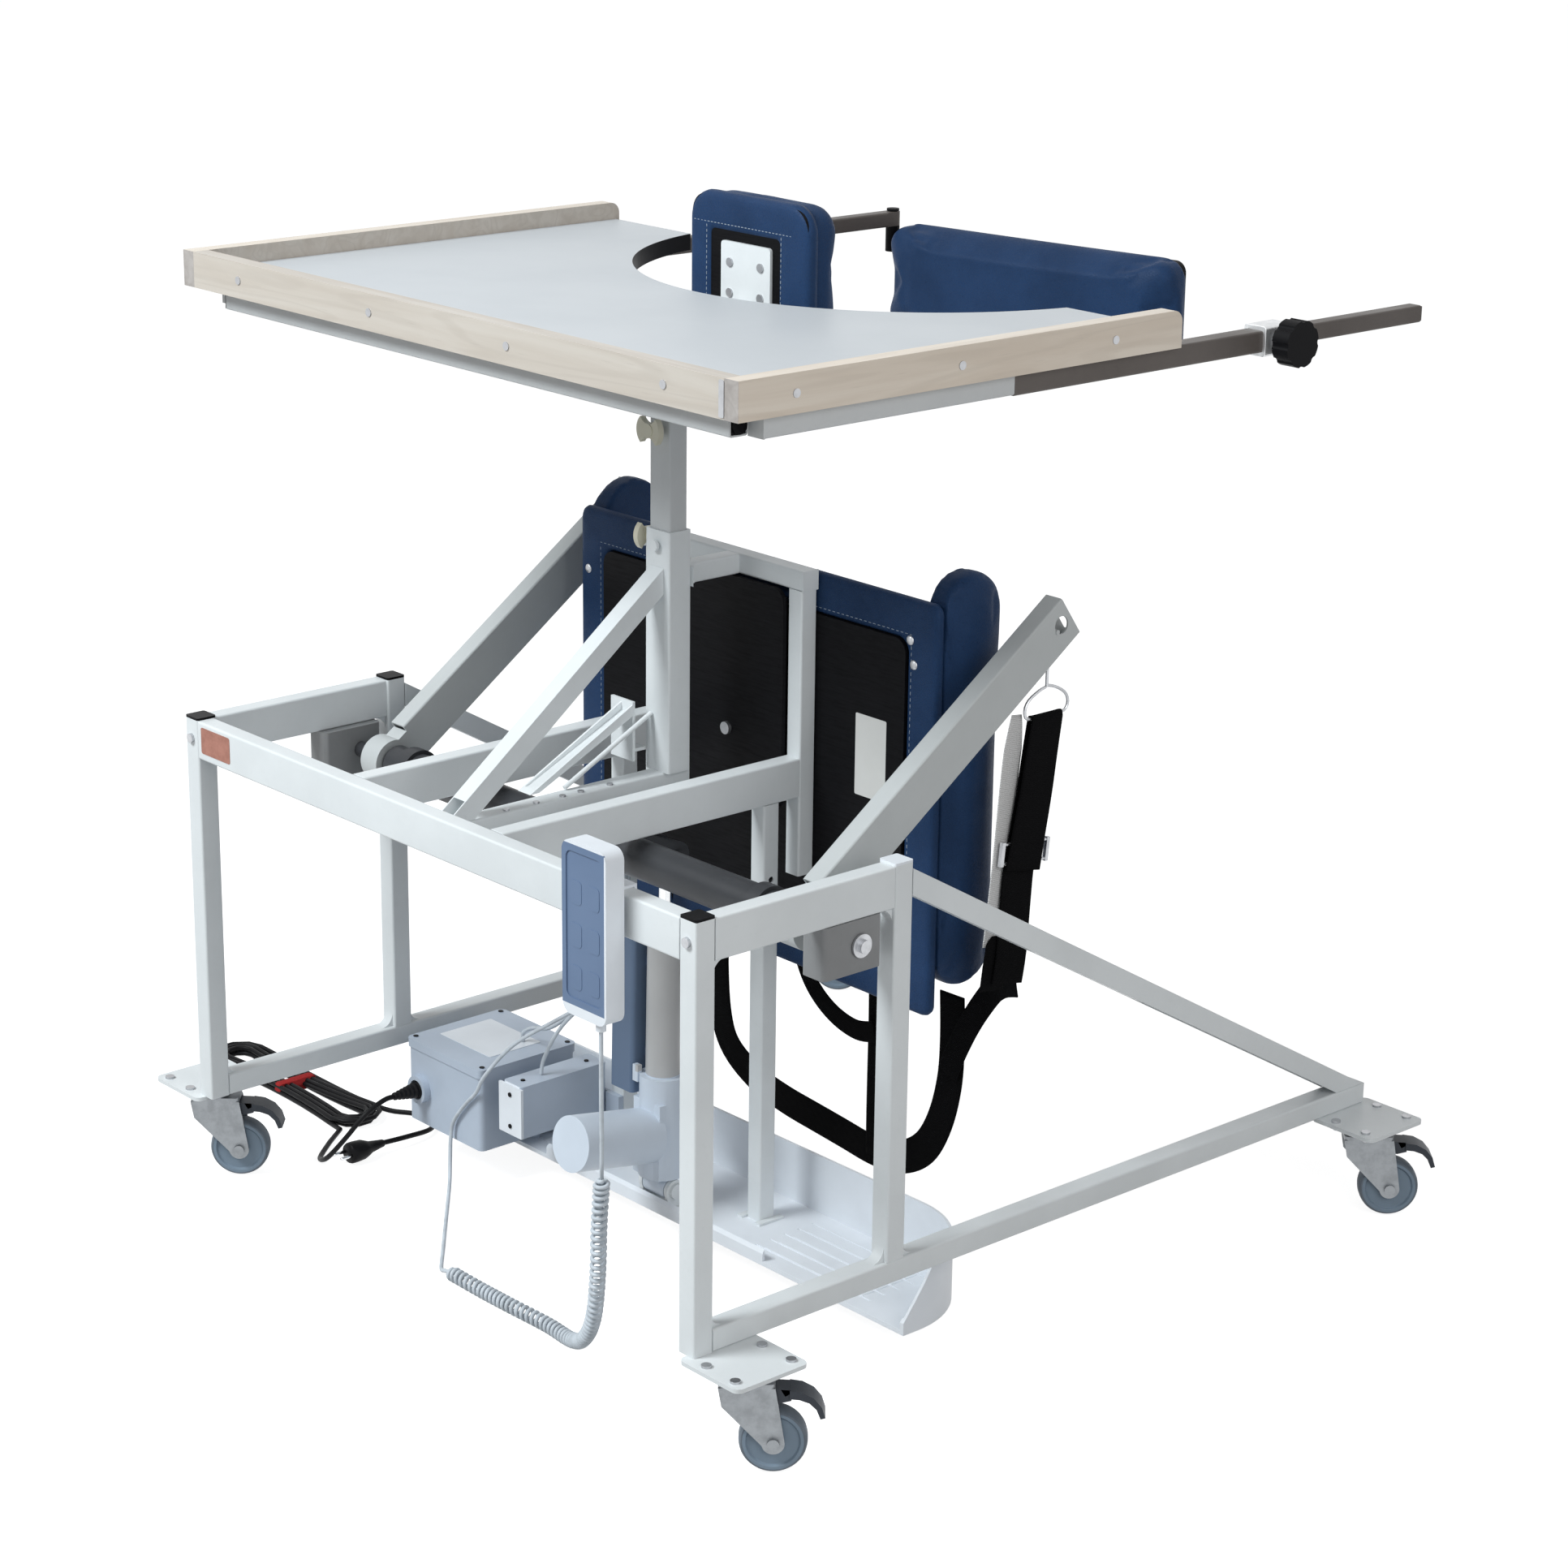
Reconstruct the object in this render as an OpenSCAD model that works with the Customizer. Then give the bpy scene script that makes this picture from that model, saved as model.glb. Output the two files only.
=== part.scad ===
// Standing frame with a lifting sling, a work table, knee panel and four braked casters.
// Millimetres, Z up, floor at zero. The mast stands at X 0 before the final shift.

/* [Frame] */
// Half the distance between the centre lines of the left and right legs
leg_x = 486; // [460:1:520]
// Thickness of the square leg and bottom rail tubes
tube = 28; // [26:1:30]
// Height of the top rails above the floor
top_z = 648; // [640:1:670]
// Height of the rectangular top rails
rail_h = 50; // [40:1:56]
// Width of the rectangular top rails
rail_w = 25; // [22:1:28]
// Distance from the mast front plane to the front face of the front legs
front_y = 356; // [340:1:380]
// Distance from the mast front plane to the front face of the second legs
second_y = 63; // [58:1:72]
// Distance from the mast front plane to the rear end of the bottom rails
rear_y = 792; // [760:1:830]
// Wall of the frame tubes
wall = 2; // [1.5:0.5:3]
// Height of the underside of the bottom rails
base_z = 133; // [133:1:140]

/* [Mast] */
// Width of the outer mast tube
mast_w = 45; // [42:1:50]
// Height of the top of the outer mast tube
mast_top = 930; // [915:1:960]
// Height of the underside of the table frame
table_z = 1165; // [1150:1:1200]

/* [Table] */
// Half the width of the table over its wooden edges
table_x = 520; // [500:1:540]
// Distance from the mast front plane to the front edge of the table
table_front = 320; // [300:1:340]
// Distance from the mast front plane to the rear edge of the table
table_rear = 350; // [320:1:380]
// Radius of the body cut-out
cut_r = 350; // [320:1:370]
// Height of the wooden edges
edge_h = 44; // [36:1:50]

/* [Lift] */
// Diameter of the torque tube
torque_d = 48; // [42:1:52]
// Length of the lift arms from the axis to the tip
arm_len = 505; // [480:1:530]
// Depth of the lift arms
arm_h = 58; // [52:1:62]

/* [Casters] */
// Diameter of the caster wheels
wheel_d = 78; // [70:1:82]
// Width of the caster wheels
wheel_w = 26; // [22:1:27]
// Horizontal distance from the swivel axis to the wheel axle
trail = 36; // [30:1:38]

/* [Pads] */
// Thickness of the knee cushion
knee_t = 40; // [30:1:48]
// Thickness of the chest cushion
chest_t = 46; // [36:1:55]
// Thickness of the back cushion
back_t = 46; // [36:1:52]

/* [Hidden] */
shift_x = -19.06;
shift_y = -275.25;
rail_z = top_z - rail_h;
leg_y1 = -front_y + tube / 2;
leg_y2 = -second_y + tube / 2;
side_x = leg_x + 1.5;
bot_top = base_z + tube;
near_x = 115.5;
far_x = -157.5;
axis_y = -115;
axis_z = rail_z - 31;
arm_x = 400;
arm_a = 35.5;
tray_z = 38;
floor_z = 44;
tbl = 25;
bar_z = table_z + 12;
gate_a = 8.5;
gate_y = 847;
hook_at = arm_len - 28;
bracket_z = table_z - 45;
screw_z = table_z - 111;
chest_z = table_z + 65;
seam = 0.1;
knee_y = 150;
act_y = 12;
lever_y = axis_y + 144.7 * cos(21);
lever_z = axis_z - 144.7 * sin(21);
chest_y = 145;

module shifted() {
    translate([shift_x, shift_y, 0]) children();
}

// Box from its two corners
module box(a, b) {
    translate(a) cube(b - a);
}

// Rectangle with rounded corners, centred
module rrect(w, h, r) {
    square([w - 2 * r, h], center = true);
    square([w, h - 2 * r], center = true);
    for (x = [-1, 1], y = [-1, 1]) {
        translate([x * (w / 2 - r), y * (h / 2 - r)]) circle(r, $fn = 32);
    }
}

// Rounded rectangular tube with open ends, standing on Z 0
module rtube(l, a, b, t = wall, r = 3) {
    linear_extrude(l) difference() {
        rrect(a, b, r);
        square([a - 2 * t, b - 2 * t], center = true);
    }
}

module tube_x(x0, x1, yc, zc, a, b) {
    translate([x0, yc, zc]) rotate([90, 0, 90]) rtube(x1 - x0, a, b);
}

module tube_y(y0, y1, xc, zc, a, b) {
    translate([xc, y0, zc]) rotate([-90, 0, 0]) rtube(y1 - y0, a, b);
}

module tube_z(z0, z1, xc, yc, a, b) {
    translate([xc, yc, z0]) rtube(z1 - z0, a, b);
}

// Prism along X from a profile in Y and Z
module slab_x(x0, x1, pts) {
    translate([x0, 0, 0]) rotate([90, 0, 90]) linear_extrude(x1 - x0) polygon(pts);
}

// Round bar between two heights, or along X or Y
module rod_z(z0, z1, x, y, r) {
    translate([x, y, z0]) cylinder(r = r, h = z1 - z0, $fn = 48);
}

module rod_x(x0, x1, y, z, r) {
    translate([x0, y, z]) rotate([0, 90, 0]) cylinder(r = r, h = x1 - x0, $fn = 48);
}

module rod_y(y0, y1, x, z, r) {
    translate([x, y0, z]) rotate([-90, 0, 0]) cylinder(r = r, h = y1 - y0, $fn = 48);
}

// Plate in X and Z with rounded corners, from Y y0 to y1
module plate_y(x0, x1, z0, z1, y0, y1, r) {
    translate([(x0 + x1) / 2, y1, (z0 + z1) / 2]) rotate([90, 0, 0])
        linear_extrude(y1 - y0) rrect(x1 - x0, z1 - z0, r);
}

// Plate in X and Y with rounded corners
module plate_z(x0, x1, y0, y1, z0, z1, r) {
    translate([(x0 + x1) / 2, (y0 + y1) / 2, z0])
        linear_extrude(z1 - z0) rrect(x1 - x0, y1 - y0, r);
}

// Concave weld fillet, corner at the origin, opening to +Y and -Z, along X
module fillet_x(x0, x1, r) {
    translate([x0, 0, 0]) rotate([90, 0, 90]) linear_extrude(x1 - x0) difference() {
        translate([0, -r]) square(r);
        translate([r, -r]) circle(r, $fn = 48);
    }
}

// Points of a rounded rectangle, 4 * (m + 1) of them
function ring(a, b, r, y, m = 5) = [for (q = [0:3], k = [0:m])
    let (t = q * 90 + 90 * k / m, sx = (q == 0 || q == 3) ? 1 : -1, sy = q < 2 ? 1 : -1)
    [sx * (a - r) + r * cos(t), y, sy * (b - r) + r * sin(t)]];

// Upholstered pad: flat back at Y 0, crowned front toward +Y
module cushion(w, h, t, crown, r, m = 5) {
    prof = [[3, 0], [0, 4], [1, t * 0.35], [0, t * 0.6], [3, t * 0.82], [9, t * 0.94],
        [20, t], [w * 0.16 + 12, t + crown * 0.6], [min(w, h) * 0.36, t + crown]];
    n = 4 * (m + 1);
    pts = [for (p = prof) each ring(w / 2 - p[0], h / 2 - p[0] * (p[0] > 20 ? h / max(w, h) : 1),
        max(r - p[0], 4), p[1], m)];
    k = len(prof);
    faces = concat([[for (i = [0:n - 1]) i]],
        [for (j = [0:k - 2], i = [0:n - 1]) [j * n + (i + 1) % n, j * n + i, (j + 1) * n + i]],
        [for (j = [0:k - 2], i = [0:n - 1])
            [j * n + (i + 1) % n, (j + 1) * n + i, (j + 1) * n + (i + 1) % n]],
        [[for (i = [n - 1:-1:0]) (k - 1) * n + i]]);
    polyhedron(pts, flip(faces), convexity = 4);
}

function flip(L) = [for (f = L) [for (k = [len(f) - 1:-1:0]) f[k]]];
function unit(v) = v / norm(v);
function tang(P, i) = unit(i == 0 ? P[1] - P[0] : i == len(P) - 1 ? P[i] - P[i - 1] : P[i + 1] - P[i - 1]);
function side(t, a) = unit(a - (a * t) * t);
// Transported side vectors along a path
function frames(P) = [for (i = 0, n = side(tang(P, 0), [0.3, 0.2, 0.93]); i < len(P);
    n = side(tang(P, min(i + 1, len(P) - 1)), n), i = i + 1) n];

// Tube of n sides along the points P
module sweep(P, r, n) {
    F = frames(P);
    k = len(P);
    pts = [for (i = [0:k - 1]) let (t = tang(P, i), b = cross(t, F[i])) for (j = [0:n - 1])
        P[i] + r * (cos(360 * j / n) * F[i] + sin(360 * j / n) * b)];
    faces = concat([[for (j = [n - 1:-1:0]) j]],
        [for (i = [0:k - 2], j = [0:n - 1]) [i * n + j, i * n + (j + 1) % n, (i + 1) * n + j]],
        [for (i = [0:k - 2], j = [0:n - 1])
            [i * n + (j + 1) % n, (i + 1) * n + (j + 1) % n, (i + 1) * n + j]],
        [[for (j = [0:n - 1]) (k - 1) * n + j]]);
    polyhedron(pts, flip(faces), convexity = 10);
}

// Smooth curve through points, m steps a span
function cat(p0, p1, p2, p3, t) = 0.5 * (2 * p1 + (p2 - p0) * t
    + (2 * p0 - 5 * p1 + 4 * p2 - p3) * t * t + (3 * p1 - p0 - 3 * p2 + p3) * t * t * t);
function smooth(P, m) = [for (i = [0:len(P) - 2], k = [0:m - 1])
    cat(P[max(i - 1, 0)], P[i], P[i + 1], P[min(i + 2, len(P) - 1)], k / m),
    P[len(P) - 1]];

module top_rails() {
    color([0.9, 0.92, 0.93]) shifted() {
        tube_x(-leg_x + tube / 2, leg_x - tube / 2, -front_y + rail_w / 2, rail_z + rail_h / 2, rail_w, rail_h);
        for (s = [-1, 1]) {
            tube_y(-front_y + tube, -second_y, s * side_x, rail_z + rail_h / 2, rail_w, rail_h);
        }
        for (x = [near_x, far_x]) {
            tube_y(-front_y + rail_w + seam, knee_y - rail_w, x, rail_z + rail_h / 2, rail_w, rail_h);
        }
    }
}

module centre_beam() {
    color([0.9, 0.92, 0.93]) shifted() {
        tube_y(-front_y + rail_w, 45, 0, rail_z + 14, 28, 28);
        difference() {
            slab_x(-12.5, 12.5, [[-330, rail_z + 28 + seam], [-285, rail_z + 28 + seam],
                [4, mast_top - 78], [4, mast_top - 45]]);
            slab_x(-10.5, 10.5, [[-340, rail_z + 21], [-292, rail_z + 21],
                [5, mast_top - 74], [5, mast_top - 49]]);
        }
    }
}

module legs() {
    color([0.9, 0.92, 0.93]) shifted() {
        for (s = [-1, 1]) {
            tube_z(base_z, top_z, s * leg_x, leg_y1, tube, tube);
            tube_z(bot_top, top_z, s * leg_x, leg_y2, tube, tube);
            translate([0, leg_y1 + tube / 2, rail_z]) fillet_x(s * side_x - 8, s * side_x + 8, 18);
            translate([0, leg_y2 - tube / 2, rail_z]) mirror([0, 1, 0])
                fillet_x(s * side_x - 8, s * side_x + 8, 18);
        }
    }
}

module bottom_rails() {
    color([0.9, 0.92, 0.93]) shifted() {
        for (s = [-1, 1]) {
            tube_y(-front_y + tube, rear_y, s * leg_x, base_z + tube / 2, tube, tube);
            translate([0, leg_y1 + tube / 2, bot_top]) mirror([0, 0, 1])
                fillet_x(s * leg_x - 8, s * leg_x + 8, 18);
            translate([0, leg_y2 - tube / 2, bot_top]) mirror([0, 0, 1]) mirror([0, 1, 0])
                fillet_x(s * leg_x - 8, s * leg_x + 8, 18);
            translate([0, leg_y2 + tube / 2, bot_top]) mirror([0, 0, 1])
                fillet_x(s * leg_x - 8, s * leg_x + 8, 18);
            box([s * leg_x - tube / 2, rear_y, base_z],
                [s * leg_x + tube / 2, rear_y + 2, bot_top]);
        }
    }
}

module diagonal_braces() {
    ya = leg_y2 + tube / 2;
    color([0.9, 0.92, 0.93]) shifted() {
        for (s = [-1, 1]) {
            difference() {
                slab_x(s * leg_x - tube / 2, s * leg_x + tube / 2,
                    [[ya, top_z - 8], [ya, top_z - 40.3], [rear_y - 53, bot_top], [rear_y - 2, bot_top]]);
                slab_x(s * leg_x - tube / 2 + wall, s * leg_x + tube / 2 - wall,
                    [[ya - 4, top_z - 7.5], [ya - 4, top_z - 36.5],
                    [rear_y - 52, bot_top - 2], [rear_y - 3, bot_top - 2]]);
            }
        }
    }
}

function caster_at(i) = [[535, -316], [-535, -316], [533, 757], [-533, 757]][i];
function screws(i) = [for (x = [-24.5, 24.5], y = [-41, 41])
    [caster_at(i)[0] + x + (i % 2 == 0 ? 12 : -12), caster_at(i)[1] + y]];

module caster_plates() {
    color([0.88, 0.9, 0.91]) shifted() {
        for (i = [0:3]) {
            p = caster_at(i);
            s = i % 2 == 0 ? 1 : -1;
            difference() {
                plate_z(min(s * (leg_x + 1), s * (leg_x + 103)), max(s * (leg_x + 1), s * (leg_x + 103)),
                    p[1] - 53, p[1] + 54, base_z - 5, base_z, 10);
                for (q = screws(i)) rod_z(base_z - 6, base_z + 1, q[0], q[1], 3.2);
            }
            difference() {
                plate_z(p[0] - 22, p[0] + 44 * (s > 0 ? 1 : 0.5) + (s > 0 ? 0 : 0), p[1] - 48, p[1] + 48,
                    base_z - 8, base_z - 5, 6);
                rod_z(base_z - 9, base_z - 4, p[0], p[1], 6.05);
                for (q = screws(i)) rod_z(base_z - 9, base_z - 4, q[0], q[1], 3.2);
            }
            for (q = screws(i)) {
                rod_z(base_z - 11, base_z, q[0], q[1], 3.1);
                rod_z(base_z, base_z + 3, q[0], q[1], 6);
            }
        }
    }
}

module leg_caps() {
    color([0.1, 0.1, 0.11]) shifted() {
        for (s = [-1, 1], y = [leg_y1, leg_y2]) {
            translate([s * leg_x, y, top_z]) linear_extrude(3) rrect(tube, tube, 3);
            box([s * leg_x - tube / 2 + wall + 0.2, y - tube / 2 + wall + 0.2, top_z - 10],
                [s * leg_x + tube / 2 - wall - 0.2, y + tube / 2 - wall - 0.2, top_z]);
        }
    }
}

module nameplate() {
    color([0.6, 0.35, 0.3]) shifted() {
        plate_y(-464, -400, top_z - 40, top_z - 6, -front_y - 0.6, -front_y, 3);
    }
}

module mast_outer() {
    color([0.9, 0.92, 0.93]) shifted() {
        difference() {
            translate([0, 21.5, rail_z + 28]) rtube(mast_top - rail_z - 28, mast_w, 35, 3);
            rod_y(3, 8, 0, mast_top - 18, 4.1);
        }
        rod_y(0, 7, 0, mast_top - 18, 4);
        rod_y(-3, 1, 0, mast_top - 18, 7);
    }
}

module cable_channel() {
    color([0.75, 0.77, 0.78]) shifted() {
        difference() {
            slab_x(-42, -18, [[-179, rail_z + 29], [-165, rail_z + 29], [-20, rail_z + 98], [-20, rail_z + 112]]);
            slab_x(-39, -21, [[-182, rail_z + 33], [-166, rail_z + 33], [-18, rail_z + 103], [-18, rail_z + 120]]);
        }
        box([-60, -20, rail_z + 40], [-18, -16, rail_z + 116]);
        box([-60, -20, rail_z + 50], [-22.5, 4, rail_z + 54]);
        translate([-10, -133, rail_z + 31]) rotate([-63, 0, 0]) cylinder(r = 3, h = 152.1, $fn = 24);
    }
}

module knee_frame() {
    z1 = mast_top - 46;
    color([0.9, 0.92, 0.93]) shifted() {
        for (x = [near_x, far_x]) {
            tube_z(495, z1 - rail_w - seam, x, knee_y - rail_w / 2, rail_w, rail_w);
        }
        tube_x(far_x - rail_w / 2, near_x + rail_w / 2, knee_y - rail_w / 2, z1 - rail_w / 2, rail_w, rail_w);
        tube_y(39, knee_y - rail_w - seam, 0, z1 - rail_w / 2, rail_w, rail_w);
        for (x = [near_x + rail_w / 2, far_x - rail_w / 2 - 2]) {
            box([x, knee_y - rail_w, z1 - rail_w], [x + 2, knee_y, z1]);
        }
        rod_x(near_x - rail_w / 2 - 4, near_x - rail_w / 2, knee_y - rail_w / 2, 779, 5);
        for (s = [0, 1]) translate([0, 39, z1 - rail_w - s * 0]) mirror([s, 0, 0])
            translate([rail_w / 2, 0, 0]) linear_extrude(rail_w) difference() {
                square(14);
                translate([14, 14]) circle(14, $fn = 48);
            }
    }
}

module foot_posts() {
    color([0.9, 0.92, 0.93]) shifted() {
        for (x = [near_x, far_x]) {
            difference() {
                tube_z(floor_z, rail_z, x, 80.5, rail_w, rail_w);
                rod_x(x + rail_w / 2 - 3, x + rail_w / 2 + 1, 80.5, rail_z - 97, 4);
            }
            box([x - 22, 60, floor_z], [x - rail_w / 2, 101, floor_z + 3]);
            box([x + rail_w / 2, 60, floor_z], [x + 22, 101, floor_z + 3]);
        }
        for (s = [-1, 1]) difference() {
            union() {
                box([s * 25 - 3, act_y - 12, floor_z + 4 + seam], [s * 25 + 3, act_y + 18, 70]);
                rod_x(s * 25 - 3, s * 25 + 3, act_y, 70, 14);
            }
            rod_x(s * 25 - 4, s * 25 + 4, act_y, 70, 6);
        }
        box([-34, act_y - 12, floor_z], [34, act_y + 30, floor_z + 4]);
        rod_x(-30, 30, act_y, 70, 5.9);
        rod_x(-33, -28, act_y, 70, 10);
        rod_x(28, 33, act_y, 70, 10);
    }
}

// Plan of the foot tray, drawn in by d
module tray_plan(d) {
    translate([-470 + d, -5 + d]) square([940 - 2 * d, 25 - d]);
    translate([-340, 15]) square([680, 135 - d]);
    for (s = [-1, 1]) translate([s * 340, 20]) circle(130 - d, $fn = 96);
}

module foot_tray() {
    color([0.9, 0.92, 0.93]) shifted() {
        difference() {
            translate([0, 0, tray_z]) linear_extrude(84) tray_plan(0);
            translate([0, 0, floor_z]) linear_extrude(90) tray_plan(4);
            slab_x(-480, 480, [[-20, 54], [-5, 54], [55, 130], [-20, 130]]);
            translate([0, 0, tray_z - 10]) linear_extrude(100) difference() {
                translate([-490, -150]) square([980, 145]);
                square(1);
            }
            for (y = [20:24:116], s = [-1, 1])
                box([s * 278 - 105, y, floor_z - 1.2], [s * 278 + 105, y + 3, floor_z + 1]);
        }
        for (y = [23:24:95]) box([188, y + 1, floor_z - 0.5], [368, y + 20, floor_z + 0.8]);
    }
}

module pivot_blocks() {
    color([0.55, 0.58, 0.6]) shifted() {
        for (s = [-1, 1]) difference() {
            plate_z(min(s * 462, s * 500), max(s * 462, s * 500), axis_y - 55, axis_y + 33,
                axis_z - 32, rail_z, 6);
            rod_x(s * 481 - 20, s * 481 + 20, axis_y, axis_z, 10.05);
        }
    }
}

module frame_bolts() {
    color([0.75, 0.76, 0.77]) shifted() {
        for (y = [-235, -190, -150, -122, -77]) rod_z(rail_z + 28, rail_z + 30, 8, y, 4);
        for (s = [-1, 1], y = [-40, 22]) rod_z(axis_z - 35.2, axis_z - 32, s * 481, axis_y + y, 5);
        for (s = [-1, 1]) rod_y(-front_y - 4, -front_y, s * leg_x, top_z - 25, 6);
        for (s = [-1, 1]) rod_x(s * (leg_x - tube / 2 - 2) - 2, s * (leg_x - tube / 2 - 2) + 2,
            leg_y2, top_z - 140, 5);
    }
}

module knee_board() {
    color([0.07, 0.07, 0.08]) shifted() {
        difference() {
            plate_y(-285, 285, 410, 828, knee_y, knee_y + 13.5, 18);
            for (x = [near_x, far_x]) rod_y(knee_y - 1, knee_y + 3, x, 700, 4);
        }
    }
}

module centre_board() {
    color([0.07, 0.07, 0.08]) shifted() {
        plate_y(-102, 102, 575, 857, 118, 124, 18);
        rod_y(113, 118, 0, 660, 8);
        difference() {
            box([-60, 124, 590], [60, knee_y, 610]);
            box([-56, 126, 580], [56, knee_y - 4, 620]);
        }
    }
}

module knee_pad() {
    color([0.12, 0.19, 0.32]) shifted() {
        difference() {
            plate_y(-335, 335, 362, 878, knee_y + 2, knee_y + 14, 14);
            plate_y(-285.3, 285.3, 409.7, 828.3, knee_y, knee_y + 15, 18.3);
        }
        translate([0, knee_y + 14, 621]) cushion(590, 500, knee_t, 8, 40, 5);
        for (s = [-1, 1]) {
            translate([s * 299.5, 216.3, 649]) rotate([0, 0, s * -90]) cushion(104, 528, knee_t, 5, 50, 6);
        }
    }
}

module control_box() {
    color([0.62, 0.67, 0.74]) shifted() {
        difference() {
            plate_z(-415, -255, -83, 75, 55, 158, 8);
            plate_z(-411, -259, -79, 71, 59, 159, 5);
            rod_y(-84, -78, -385, 105, 8);
        }
        plate_z(-417, -253, -85, 77, 158, 170, 9);
        plate_z(-395, -285, -45, 40, 170, 170.6, 2);
        difference() {
            rod_y(-93, -82.5, -385, 105, 19);
            rod_y(-94, -82, -385, 105, 13.4);
        }
        for (x = [-408, -262], y = [-75, 67]) rod_z(170, 171.5, x, y, 3.5);
        for (x = [-395, -275], y = [20, 60]) rod_z(floor_z, 55, x, y, 8);
    }
}

module side_box() {
    color([0.62, 0.67, 0.74]) shifted() {
        plate_z(-214, -175, -77, 64, 98, 170, 5);
        box([-172, 60, 60], [-145, 68, 130]);
        box([-214, 64, 60], [-172, 68, 130]);
        box([-218, -81, 100], [-171, -77, 168]);
        for (z = [112, 156]) rod_y(-82.5, -81, -194, z, 3);
        for (y = [-60, 45]) rod_z(170, 171.5, -194, y, 3);
    }
}

module handset() {
    color([0.86, 0.89, 0.92]) shifted() {
        difference() {
            plate_y(309, 386, 500, 704, -388, -362, 14);
            plate_y(316, 379, 520, 692, -389, -386.5, 9);
        }
        for (z = [545, 595, 645]) {
            for (x = [332, 363]) plate_y(x - 10, x + 10, z - 14, z + 14, -387, -386.5, 5);
        }
        box([330, -362, 640], [365, -356, 660]);
        box([330, -362, top_z], [365, -327, top_z + 3]);
        box([330, -330.5, top_z - 18], [365, -327, top_z]);
        rod_z(488, 500, 361, -375, 6);
    }
}

// Least gap of a cord to itself: its points against its segments that lie over 7 points further along
function off_segment(p, a, b) = let (d = b - a, t = max(0, min(1, (p - a) * d / (d * d)))) norm(a + t * d - p);
function least_gap(path, r) = min([for (i = [0:len(path) - 2], j = [0:len(path) - 1])
    if (j > i + 7 || j < i - 7) off_segment(path[j], path[i], path[i + 1])]) - 2 * r;

// Handset cord: thin lead, curls, thin lead to the control box, one tube
cord_top = [361, -375, 488];
curl_a = [360, -374, 300];
curl_path = smooth([[360, -374, 308], [350, -370, 250], [322, -350, 170], [283, -325, 95],
    [235, -300, 42], [190, -283, 16], [130, -274, 10.6], [60, -276, 10.6], [0, -277, 10.6],
    [-64, -276, 10.6]], 60);
function curl_ring(i) = let (t = tang(curl_path, i), n = curl_side[i], b = cross(t, n), a = 45 * i,
    r = curl_r * min(1, i / 8, (len(curl_path) - 1 - i) / 8)) curl_path[i] + r * (cos(a) * n + sin(a) * b);
curl_r = 7.4;
cord_r = 2.6;
curl_side = frames(curl_path);
curls = [for (i = [0:len(curl_path) - 1]) curl_ring(i)];
lead_in = [cord_top, [361, -375, 476], [361, -375, 440], [361, -375, 400], [360.5, -374, 360], [360, -374, 325]];
lead_out = smooth([[-78, -275.5, 8], [-94, -268, 3.4], [-140, -231, 3.4], [-196, -186, 3.4],
    [-248, -144, 3.4], [-284, -114, 12], [-304, -98, 34], [-312, -90.5, 60], [-308, -88, 84],
    [-282, -88, 116], [-258, -88, 140], [-240, -86, 170], [-206, -64, 218], [-152, -32, 262],
    [-120, -5, 290], [-92, 12, 330], [-84, 16, 370], [-82, 14, 412], [-66, 4, 470], [-48, -8, 530],
    [-34, -18, 590]], 3);

// Thin leads from the lids to the clip on the centre beam
thin_leads = [smooth([[-194, -30, 172], [-190, -27, 196], [-165, -18, 244], [-126, 2, 292], [-98, 22, 332],
        [-90, 26, 372], [-88, 24, 414], [-70, 12, 474], [-50, 0, 534], [-34, -8, 590]], 3),
    smooth([[-300, 22, 171.6], [-299, 22, 184], [-276, 20, 198], [-230, 14, 214], [-178, 12, 252],
        [-134, 22, 292], [-106, 34, 334], [-98, 36, 374], [-95, 34, 416], [-76, 22, 476], [-54, 10, 536],
        [-34, 2, 590]], 3)];

module handset_cord() {
    lead = concat(lead_in, curls, lead_out, [[-17, -20, 612]]);
    echo(handset_cord_least_gap = least_gap(lead, cord_r));
    color([0.5, 0.56, 0.64]) shifted() {
        sweep(lead, cord_r, 6);
        sweep(concat(thin_leads[0], [[-17, -8, 612]]), cord_r, 6);
        sweep(concat(thin_leads[1], [[-17, 4, 612]]), cord_r, 6);
    }
}

// Mains cord: drop from the control box, then a tied hank of six loops on the floor
hank_x = -700;
hank_y = -75;
function hank_at(f) = let (i = floor(f), u = (f - i) * 24, lay = [16.6, 8.3, 0, 0, 8.3, 16.6],
    o0 = lay[min(i, 5)], o1 = lay[min(i + 1, 5)],
    off = u > 12 && u < 19 ? o0 + (o1 - o0) * (u - 12) / 7 : u >= 19 ? o1 : o0,
    z = i < 2 ? 4.6 : i == 2 ? 4.6 + 8 * max(0, min(1, (u - 12) / 7)) : 12.6, w = 20 + off,
    g = u < 7 ? 1 - 2 * u / 7 : u > 12 && u < 19 ? 2 * (u - 12) / 7 - 1 : 0,
    pull = (u < 7 || (u > 12 && u < 19)) ? 9 * (1 - g * g) : 0)
    u <= 7 ? [hank_x + 140 - 40 * u, hank_y - w + pull, z]
    : u < 12 ? [hank_x - 140 - w * sin((u - 7) * 36), hank_y - w * cos((u - 7) * 36), z]
    : u <= 19 ? [hank_x - 140 + 40 * (u - 12), hank_y + w - pull, z]
    : [hank_x + 140 + w * sin((u - 19) * 36), hank_y + w * cos((u - 19) * 36), z];
hank = [for (k = [0:5 * 24 + 18]) hank_at(k / 24)];
drop = smooth([[-385, -130.2, 105], [-385, -146, 104], [-388, -174, 90], [-401, -198, 58],
    [-430, -207, 24], [-470, -192, 6], [-508, -150, 4.6]], 3);
tail = smooth([[-548, -27, 12.6], [-515, -2, 12], [-478, 0, 12], [-448, -26, 12], [-438, -70, 14],
    [-438, -110, 16]], 3);

mains_r = 3.5;

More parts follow.
